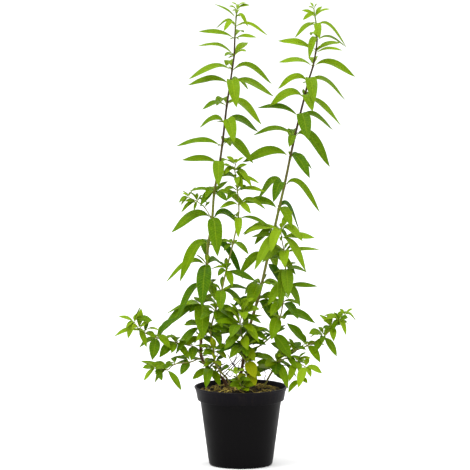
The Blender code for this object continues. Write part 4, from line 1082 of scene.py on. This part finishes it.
draw = random.Random(TWIG_SEED)
twig_routes = [[Vector(spot) * MM for spot in twig] for twig in DRY_TWIGS]
feet = [LEFT_TALL_STEM[1:7], MIDDLE_STEM[1:6], RIGHT_TALL_STEM[1:5], CENTRE_SHORT_SHOOT[1:4]]
for _ in range(SPARE_TWIGS):
    stem = draw.choice(feet)
    order = draw.randrange(len(stem) - 1)
    share = draw.random()
    spot = Vector(stem[order][:3]).lerp(Vector(stem[order + 1][:3]), share) * MM
    heading = draw.uniform(-math.pi, math.pi)
    rise = draw.uniform(-0.5, 1.0)
    step = draw.uniform(2.5, 6.5) * MM
    bare = [spot]
    for _ in range(3):
        heading += draw.uniform(-0.9, 0.9)
        rise += draw.uniform(-0.7, 0.7)
        spot = spot + Vector((math.cos(heading), math.sin(heading), rise)).normalized() * step
        bare.append(spot)
    twig_routes.append(bare)
shape = bmesh.new()
for twig in twig_routes:
    route, thick = smooth_route(twig, radii_of(len(twig), TWIG_FOOT, TWIG_TIP, 1.0), TWIG_STEPS)
    rod(shape, route, thick, TWIG_SIDES)
bmesh.ops.remove_doubles(shape, verts=shape.verts, dist=2e-6)
bmesh.ops.recalc_face_normals(shape, faces=shape.faces)
dry_twigs = piece_from("dry_twigs", shape, [dead_wood])
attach(dry_twigs, "root")

# The leaves: thin lance-shaped blades on short stalks, folded a little along the midrib, with a wavy edge.
# Each is one closed skin, shiny and ribbed above, paler and matt below, on a stalk that runs on as its rib.
LEAF_THICKNESS = 0.32 * MM
LEAF_GRID = (14, 4)
SMALL_GRID = (8, 2)
VEIN_SPACING = 3.4 * MM
SMALL_LEAF = 34 * MM
TWIST = 0.35
WAVES = (1.0, 2.2)
RIPPLE = (0.02, 0.07)
FOLDED = (0.6, 1.5)
CURL = (-0.10, 0.16)
TOOTH = (0.0, 0.015)
TONE_SPREAD = 0.28
RIB_END = 0.93
STALK_RADIUS = 0.75 * MM
LEAF_SEED = 301
SLIMNESS = 0.94
LOW_FULLNESS = 1.07
LOW_BELOW = 260 * MM


def leaf_side(name, light, dark, glow, sheen, back):
    """One side of a leaf: a green that differs from leaf to leaf, pale veins, a pale margin lightened further
    with painted backlight glow, and light shining through.
    """
    made, out = new_material(name)
    place = node(made, "ShaderNodeTexCoord")
    split = node(made, "ShaderNodeSeparateXYZ", {"Vector": place.outputs["UV"]})
    aside = maths(made, "ABSOLUTE", maths(made, "SUBTRACT", split.outputs["Y"], 0.5))
    slanted = maths(made, "MULTIPLY_ADD", aside, -0.16, split.outputs["X"])
    saw = maths(made, "PINGPONG", maths(made, "MULTIPLY", slanted, attribute(made, "veins")), 0.5)
    lateral = span(made, saw, 0.0, 0.14, 1.0, 0.0, interpolation_type="SMOOTHSTEP")
    midrib = span(made, aside, 0.010, 0.055, 1.0, 0.0, interpolation_type="SMOOTHSTEP")
    edge = span(made, aside, 0.46, 0.50, 0.0, 1.0)
    mottle = grains(made, place.outputs["Object"], 7 * MM, 4.0, 0.6)
    blotch = maths(made, "MULTIPLY_ADD", mottle, 0.7, attribute(made, "tone"))
    base = blend(made, maths(made, "SUBTRACT", blotch, 0.35, use_clamp=True), dark, light)
    fresh = blend(made, span(made, attribute(made, "youth"), 0.45, 1.0, 0.0, 0.50), base, "#93b01f")
    yellowed = blend(made, attribute(made, "old"), fresh, "#9aa008")
    veined = blend(made, maths(made, "MULTIPLY", lateral, 0.28), yellowed, "#90ab1c")
    ribbed = blend(made, maths(made, "MULTIPLY", midrib, 0.24), veined, "#a6bb26")
    # Painted backlight glow: the rim is lightened towards pale yellow-green, on top of the leaf's paler
    # margin.
    margin_and_backlight_rim = blend(made, maths(made, "MULTIPLY", edge, 0.4), ribbed, "#a6bb26")
    relief = maths(made, "MULTIPLY", maths(made, "MULTIPLY_ADD", midrib, 1.4, lateral), back)
    fine = grains(made, place.outputs["Object"], 1.2 * MM, 2.0)
    raised = bumpy(made, maths(made, "MULTIPLY_ADD", fine, 0.35, relief), 0.8, 0.30 * MM)
    body = node(made, "ShaderNodeBsdfPrincipled", {
        "Base Color": margin_and_backlight_rim, "Roughness": sheen, "Normal": raised, "Specular IOR Level": 0.05,
    })
    through = node(made, "ShaderNodeBsdfTranslucent", {"Color": glow, "Normal": raised})
    both = node(made, "ShaderNodeMixShader", {0: 0.26, 1: body.outputs[0], 2: through.outputs[0]})
    made.node_tree.links.new(both.outputs[0], out.inputs["Surface"])
    return made


face_green = leaf_side("verbena leaf face", "#6a8800", "#285100", "#80ac00", 0.40, -1.0)
back_green = leaf_side("verbena leaf underside", "#748f0e", "#487008", "#80ac00", 0.60, 1.0)
stalk_green, out = new_material("verbena leaf stalk")
# The stalk and the rib beneath the leaf are pale, juicy green.
surface(stalk_green, out, "#8ea52c", 0.5, 0.12)


def grow_leaf(shape, root, leaf, draw, youth, old, columns, rows):
    """Adds one leaf: a closed blade that is waved, folded and twisted a little, and its stalk and rib."""
    tip, arch, width, roll, sway = leaf
    length = tip.length
    twist = draw.uniform(-TWIST, TWIST)
    waves = draw.uniform(*WAVES)
    starts = [draw.uniform(0, 2 * math.pi) for _ in range(2)]
    ripple = draw.uniform(*RIPPLE)
    fold = FOLD * draw.uniform(*FOLDED)
    curl = draw.uniform(*CURL)
    tooth = draw.uniform(*TOOTH)
    slimness = LOW_FULLNESS if root.z < LOW_BELOW else SLIMNESS

    def skin(u, v, sink):
        across_share = (v - 0.5) * 2
        t = PETIOLE_SHARE + (1 - PETIOLE_SHARE) * u
        middle_point, across, up = leaf_frame(root, leaf, t, twist)
        notch = 1.0 - tooth * (round(u * columns) % 2)
        spread = slimness * width / 2 * fine_half_width(u) * notch if 0 < u < 1 else 0.0
        out_share = abs(across_share)
        wave = ripple * math.sin(2 * math.pi * waves * u + starts[0 if across_share < 0 else 1])
        rise = math.sin(fold) * out_share - curl * out_share ** 3 + wave * out_share ** 2
        reach = math.cos(fold) * across_share
        thin = LEAF_THICKNESS * (1 - out_share) * sink if 0 < u < 1 else 0.0
        return middle_point + across * reach * spread + up * (rise * spread - thin)

    layer = shape.verts.layers.float.get("tone")
    age_layer = shape.verts.layers.float.get("youth")
    vein_layer = shape.verts.layers.float.get("veins")
    old_layer = shape.verts.layers.float.get("old")
    value = min(1.0, max(0.0, draw.gauss(0.5, TONE_SPREAD)))
    made = mapped_grid(shape, columns, rows, lambda u, v: skin(u, v, 0.0), 0)
    made += mapped_grid(shape, columns, rows, lambda u, v: skin(u, v, 1.0), 1, flip=True)
    doubled = bmesh.ops.find_doubles(shape, verts=made, dist=1e-7)["targetmap"]
    bmesh.ops.weld_verts(shape, targetmap=doubled)
    made = [vert for vert in made if vert.is_valid]

    def stalk(u, v):
        t = RIB_END * u
        middle_point, across, up = leaf_frame(root, leaf, t, twist)
        wide = STALK_RADIUS * min(1.0, 0.45 + width / (18 * MM)) * (1 - 0.8 * u)
        if u in (0.0, 1.0):
            wide = 0.0
        turn = 2 * math.pi * v
        drop = up * (LEAF_THICKNESS + wide * 0.3) * (0.0 if t < PETIOLE_SHARE else 1.0)
        return middle_point - drop + (across * math.cos(turn) + up * math.sin(turn)) * wide

    stem_part = mapped_grid(shape, 9, 5, stalk, 2)
    doubled = bmesh.ops.find_doubles(shape, verts=stem_part, dist=1e-7)["targetmap"]
    bmesh.ops.weld_verts(shape, targetmap=doubled)
    made += [vert for vert in stem_part if vert.is_valid]
    for vert in made:
        vert[layer] = value
        vert[age_layer] = youth
        vert[old_layer] = old
        vert[vein_layer] = max(5.0, length / VEIN_SPACING)


def make_leaves(name, leaves, seed):
    """One piece with all the leaves of a node."""
    shape = bmesh.new()
    for layer in ("tone", "youth", "veins", "old"):
        shape.verts.layers.float.new(layer)
    shape.loops.layers.uv.verify()
    draw = random.Random(seed + LEAF_SEED)
    for root, leaf, youth, old in leaves:
        small = leaf[0].length < SMALL_LEAF
        grow_leaf(shape, root, leaf, draw, youth, old, *(SMALL_GRID if small else LEAF_GRID))
    bmesh.ops.recalc_face_normals(shape, faces=shape.faces)
    made = piece_from(name + "_leaves", shape, [face_green, back_green, stalk_green], 75)
    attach(made, "root")
    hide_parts(name)


for seed, (name, leaves) in enumerate(grown.items()):
    make_leaves(name, leaves, seed)
